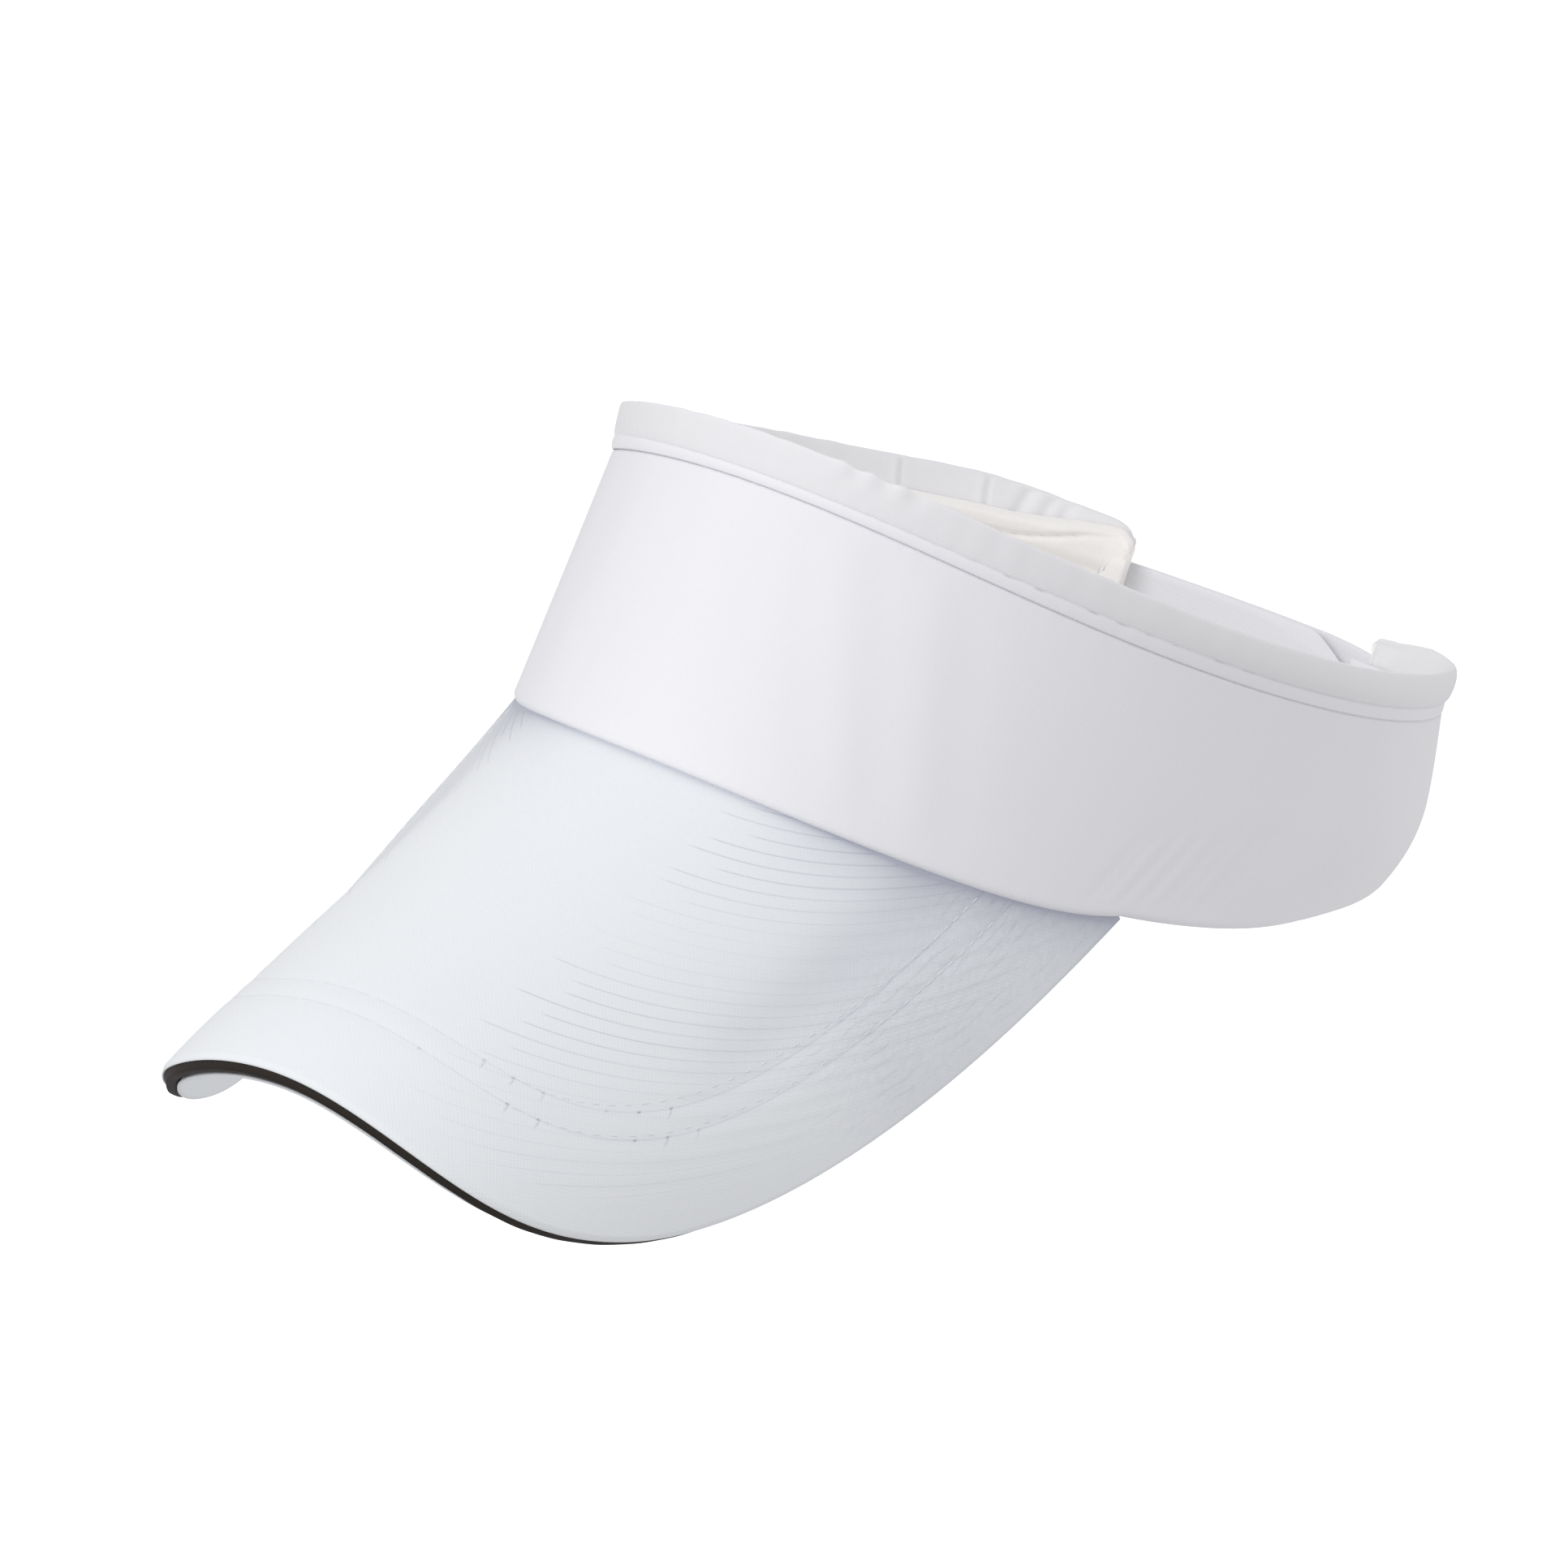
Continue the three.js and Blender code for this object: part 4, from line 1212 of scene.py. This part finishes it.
def add_binding_tip(name, side, end, material):
    """The rolled binding's closed end."""
    offset, level, _ = binding_section(side * math.radians(end), 60)
    line = np.stack([offset, level], axis=-1)
    centre = line.mean(axis=0)
    rows = [(0.0, 1.0), (0.5, 0.985), (0.8, 0.93), (1.0, 0.82), (1.15, 0.62), (1.2, 0.3), (1.22, 0.02)]
    grid = []
    for reach, size in rows:
        spot = centre + (line - centre) * size
        angle = side * (math.radians(end) + (reach - 0.4) / REAR_ARC)
        height = top_edge(angle) + binding_height(side * math.radians(end), spot[:, 1])
        grid.append(band_point(slanted(angle, spot[:, 1]), height, spot[:, 0]))
    grid = np.array(grid)
    count = grid.shape[1]
    faces = tube_faces(len(rows), count)
    place = side_by_side(np.arange(len(rows))[:, None], np.linspace(0, 24, count))
    add_piece(
        name, grid.reshape(-1, 3), faces, place.reshape(-1, 2).astype(float), material, "crown",
        closed=False,
    )


# ---- the closure ----

INNER_STRAP = (1.4, 2.2)
LOOP_LAYER = (2.7, 3.5)
HOOK_LAYER = (3.8, 4.6)
OUTER_STRAP = (4.9, 5.7)
LEFT_ROOT = 142.0
LEFT_HINGE = 154.0
LEFT_TIP = 207.0
RIGHT_ROOT = 210.0
RIGHT_HINGE = 196.0
RIGHT_TIP = 157.5
HOOKS_FROM = 172.0
STRAP_CHAMFER = 8.0
INNER_STRAP_CHAMFER = 10.0


def strap_height(angle, share):
    """Height on the strap, from -1 at its lower edge to 1 at its upper."""
    sag = STRAP_ROOT_SAG * fade(np.degrees(angle), *STRAP_SAG_RANGE)
    middle = ring_line(angle) - sag - STRAP_DROP - STRAP_HEIGHT / 2
    return middle + share * STRAP_HEIGHT / 2


def strap_grid(root, tip, chamfer, inset, steps, rows):
    """Angles and heights over a strap or patch whose tip has its corners taken off."""
    share = np.linspace(-1.0, 1.0, rows)[None, :]
    along = np.linspace(0.0, 1.0, steps)[:, None]
    cut = chamfer * np.maximum(0.0, (np.abs(share) - 0.2) / 0.8) ** 1.3
    way = math.copysign(1.0, tip - root)
    stop = tip - way * cut
    angle = np.radians(root + (stop - root) * along)
    height = strap_height(angle, share * (1.0 - 2.0 * inset / STRAP_HEIGHT))
    return angle, height, share


def webbing_relief(share, along_mm):
    """Two woven ribs near the edges and a slight puff between them."""
    edge = 1.0 - np.abs(share)
    return 0.10 * bump_at(edge, 0.12, 0.07) + 0.05 * (1 - share**2) + 0.02 * ripple(along_mm / 6.0, 80)


def add_strap(name, root, tip, chamfer, hinge, offsets, replaces, ramp=None):
    angle, height, share = strap_grid(root, tip, chamfer, 0.0, 150, 34)
    inner, outer = offsets
    degrees = np.degrees(angle)
    drop = 0.0
    if ramp:
        ramp_from, ramp_to, ramp_depth = ramp
        drop = ramp_depth * fade(degrees, ramp_from, ramp_to)
    relief = webbing_relief(share, arc_length(angle))
    outer_grid = band_point(angle, height, outer - drop + relief)
    inner_grid = band_point(angle, height, inner - drop - relief * 0.5)
    place = side_by_side(arc_length(angle), height)
    strap = thick_sheet(name, outer_grid, inner_grid, place, strap_cloth, replaces, body=None)
    level = (inner + outer) / 2
    bend = 1.6
    way = math.copysign(1.0, tip - root)
    for shift in (-bend, bend):
        turn = math.radians(hinge + way * shift)
        tuple(float(v) * MM for v in band_point(turn, strap_height(turn, 0.0), level))
    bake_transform(strap)


def add_hook_patch():
    angle, height, _ = strap_grid(HOOKS_FROM, LEFT_TIP - 1, STRAP_CHAMFER - 0.6, 2.0, 90, 20)
    outer = band_point(angle, height, HOOK_LAYER[1] + 0.25)
    inner = band_point(angle, height, HOOK_LAYER[0] + 0.35)
    place = side_by_side(arc_length(angle), height)
    thick_sheet("hook_tape", outer, inner, place, hook_plastic, ["hook_patch"], "left_strap", "fastener")
    add_hooks()


def add_hooks():
    """Rows of small bent hooks on the outer strap's inner face."""
    points, faces, cloth = [], [], []
    bend = [(0.0, 0.0), (0.0, 0.28), (0.12, 0.46), (0.34, 0.44)]
    corners = [(-1, -1), (1, -1), (1, 1), (-1, 1)]
    half_thick = 0.09
    for degrees in np.arange(HOOKS_FROM + 1.5, LEFT_TIP - 8, 0.85):
        for share in np.linspace(-0.72, 0.72, 12):
            angle = math.radians(degrees)
            height = float(strap_height(angle, share))
            here, forward, inwards = on_wall(angle, height, HOOK_LAYER[0] + 0.4, -1.0)
            upwards = np.cross(inwards, forward)
            faces += tube_faces(len(bend), len(corners), len(points))
            for reach, rise in bend:
                for ahead, above in corners:
                    spot = here + forward * (reach + half_thick * ahead) + upwards * half_thick * above
                    points.append(spot + inwards * rise)
                    cloth.append((reach, rise))
    add_piece(
        "hooks", np.array(points), faces, np.array(cloth), hook_plastic, "left_strap",
        closed=False,
    )


def add_loop_patch():
    angle, height, _ = strap_grid(RIGHT_HINGE - 2, RIGHT_TIP + 3, STRAP_CHAMFER - 0.6, 2.0, 200, 90)
    s = arc_length(angle)
    fuzz = 0.16 * blotches(s / 1.6, height / 1.6, 90, 12) + 0.12 * blotches(s / 0.9, height / 0.9, 91, 12)
    outer = band_point(angle, height, LOOP_LAYER[1] - 0.15 + fuzz)
    inner = band_point(angle, height, LOOP_LAYER[0] - 0.2 + 0 * fuzz)
    place = side_by_side(s, height)
    thick_sheet("loop_tape", outer, inner, place, loop_pile, ["loop_patch"], "right_strap", "fastener")


def add_root_stitching(name, start, stop, replaces):
    """A box of stitches with a cross in it, holding a strap's root to the band."""
    offset = INNER_STRAP[1] + 0.12
    width = abs(stop - start) * math.pi / 180 * BAND_HALF_WIDTH
    margin = 3.0
    left, right = margin, width - margin
    low, high = margin, STRAP_HEIGHT - margin
    lines = [
        ((left, low), (right, low)), ((right, low), (right, high)), ((right, high), (left, high)),
        ((left, high), (left, low)), ((left, low), (right, high)), ((left, high), (right, low)),
    ]
    spots = []
    for start_at, stop_at in np.array(lines):
        count = max(int(math.dist(start_at, stop_at) / 2.6), 1)
        for i in range(count):
            t = (i + 0.5) / count
            spots.append((start_at + (stop_at - start_at) * t, start_at + (stop_at - start_at) * (t + 0.02)))

    def on_band(spot):
        angle = np.radians(start + (stop - start) * spot[:, 0] / width)
        return angle, strap_height(angle, 2.0 * spot[:, 1] / STRAP_HEIGHT - 1.0), offset

    here, ahead = (on_band(np.array(column)) for column in zip(*spots))
    places, _, ups = on_wall(*here)
    ways = unit(band_point(*ahead) - places)
    stitches(name, places, ways, ups, 2.0, 0.18, white_thread, replaces)


def add_closure():
    ramp = (LEFT_ROOT + 5.4, LEFT_HINGE, OUTER_STRAP[0] - INNER_STRAP[0])
    add_strap(
        "outer_strap", LEFT_ROOT, LEFT_TIP, STRAP_CHAMFER, LEFT_HINGE, OUTER_STRAP,
        ["left_strap_root", "left_strap"], ramp,
    )
    add_strap(
        "inner_strap", RIGHT_ROOT, RIGHT_TIP, INNER_STRAP_CHAMFER, RIGHT_HINGE, INNER_STRAP,
        ["right_strap_root", "right_strap"],
    )
    add_hook_patch()
    add_loop_patch()
    add_root_stitching("outer_strap_stitches", LEFT_ROOT, LEFT_ROOT + 7, ["left_root_stitching"])
    add_root_stitching("inner_strap_stitches", RIGHT_HINGE + 3, RIGHT_ROOT, ["right_root_stitching"])


# ---- the studio ----

def add_floor():
    size = 6.0
    low = cad_bounds[0][2] - 0.06
    mesh = bpy.data.meshes.new("floor")
    corners = [(-size, -size, low), (size, -size, low), (size, size, low), (-size, size, low)]
    mesh.from_pydata(corners, [], [(0, 1, 2, 3)])
    nodes = Nodes("floor_paint")
    spot = nodes.add("ShaderNodeTexCoord").outputs["Object"]
    paint = nodes.mix(nodes.noise(spot, 3.0, 3.0), (0.93, 0.93, 0.93, 1), (0.95, 0.95, 0.95, 1))
    nodes.set_shader({"Base Color": paint, "Roughness": 0.9, "Specular IOR Level": 0.0})
    nodes.set_shader(glow((1, 1, 1, 1), 0.62))
    mesh.materials.append(nodes.material)
    floor = bpy.data.objects.new("floor", mesh)
    bpy.context.scene.collection.objects.link(floor)
    floor.visible_diffuse = False
    floor.visible_glossy = False


def add_world():
    """Even white studio light, on a white backdrop."""
    world = bpy.data.worlds.new("studio")
    bpy.context.scene.world = world
    world.use_nodes = True
    tree = world.node_tree
    light = tree.nodes["Background"]
    light.inputs["Color"].default_value = (0.98, 0.98, 1.0, 1)
    light.inputs["Strength"].default_value = 0.57
    backdrop = tree.nodes.new("ShaderNodeBackground")
    backdrop.inputs["Color"].default_value = (1, 1, 1, 1)
    backdrop.inputs["Strength"].default_value = 1.02
    seen = tree.nodes.new("ShaderNodeLightPath")
    mix = tree.nodes.new("ShaderNodeMixShader")
    tree.links.new(seen.outputs["Is Camera Ray"], mix.inputs[0])
    tree.links.new(light.outputs[0], mix.inputs[1])
    tree.links.new(backdrop.outputs[0], mix.inputs[2])
    tree.links.new(mix.outputs[0], tree.nodes["World Output"].inputs[0])


def add_light(name, place, target, size, power, colour):
    data = bpy.data.lights.new(name, "AREA")
    data.shape = "SQUARE"
    data.size = size
    data.energy = power
    data.color = colour
    lamp = bpy.data.objects.new(name, data)
    lamp.location = place
    lamp.rotation_euler = (Vector(target) - Vector(place)).to_track_quat("-Z", "Y").to_euler()
    bpy.context.scene.collection.objects.link(lamp)


def add_camera():
    azimuth, elevation, roll = (math.radians(v) for v in (29.12, 6.13, 18.62))
    distance = 1.06145
    aim_right, aim_up = -0.04906, -0.05003
    aim_height = BAND_HEIGHT * MM
    level_right = Vector((math.cos(azimuth), math.sin(azimuth), 0.0))
    level_back = Vector((math.sin(azimuth), -math.cos(azimuth), 0.0))
    back = level_back * math.cos(elevation) + Vector((0.0, 0.0, math.sin(elevation)))
    level_up = back.cross(level_right)
    right = math.cos(roll) * level_right + math.sin(roll) * level_up
    up = -math.sin(roll) * level_right + math.cos(roll) * level_up
    aim = Vector((0.0, 0.0, aim_height)) + right * aim_right + up * aim_up
    data = bpy.data.cameras.new("camera")
    data.sensor_width = 36.0
    data.lens = 126.0
    camera = bpy.data.objects.new("camera", data)
    frame_axes = Matrix((right, up, back)).transposed().to_4x4()
    camera.matrix_world = Matrix.Translation(aim + back * distance) @ frame_axes
    bpy.context.scene.collection.objects.link(camera)
    bpy.context.scene.camera = camera


def add_studio():
    add_floor()
    add_world()
    add_light("key", (-0.3, -1.6, 0.5), (0.0, -0.04, 0.0), 1.0, 11.9, (1.0, 0.995, 1.0))
    add_light("side", (1.0, 1.3, 0.2), (0.0, 0.0, 0.0), 0.8, 5.4, (1.0, 0.98, 0.98))
    add_light("top", (0.0, -0.2, 1.6), (0.0, -0.04, 0.0), 1.2, 2.0, (1.0, 1.0, 1.0))
    add_camera()
    bpy.context.scene.view_settings.view_transform = "Standard"


finish_cad_nodes()
add_crown_panel()
add_top_binding()
add_piping_strip()
add_binding_stitches()
add_sweatband()
add_brim_upper()
add_brim_lower()
add_trim()
add_brim_stitches()
add_end_binding("left_end_cover", 1, LEFT_END)
add_end_binding("right_end_cover", -1, RIGHT_END)
add_binding_tip("left_binding_tip", 1, LEFT_END, hem_cloth)
add_binding_tip("right_binding_tip", -1, RIGHT_END, binding_cloth)
add_closure()
add_studio()
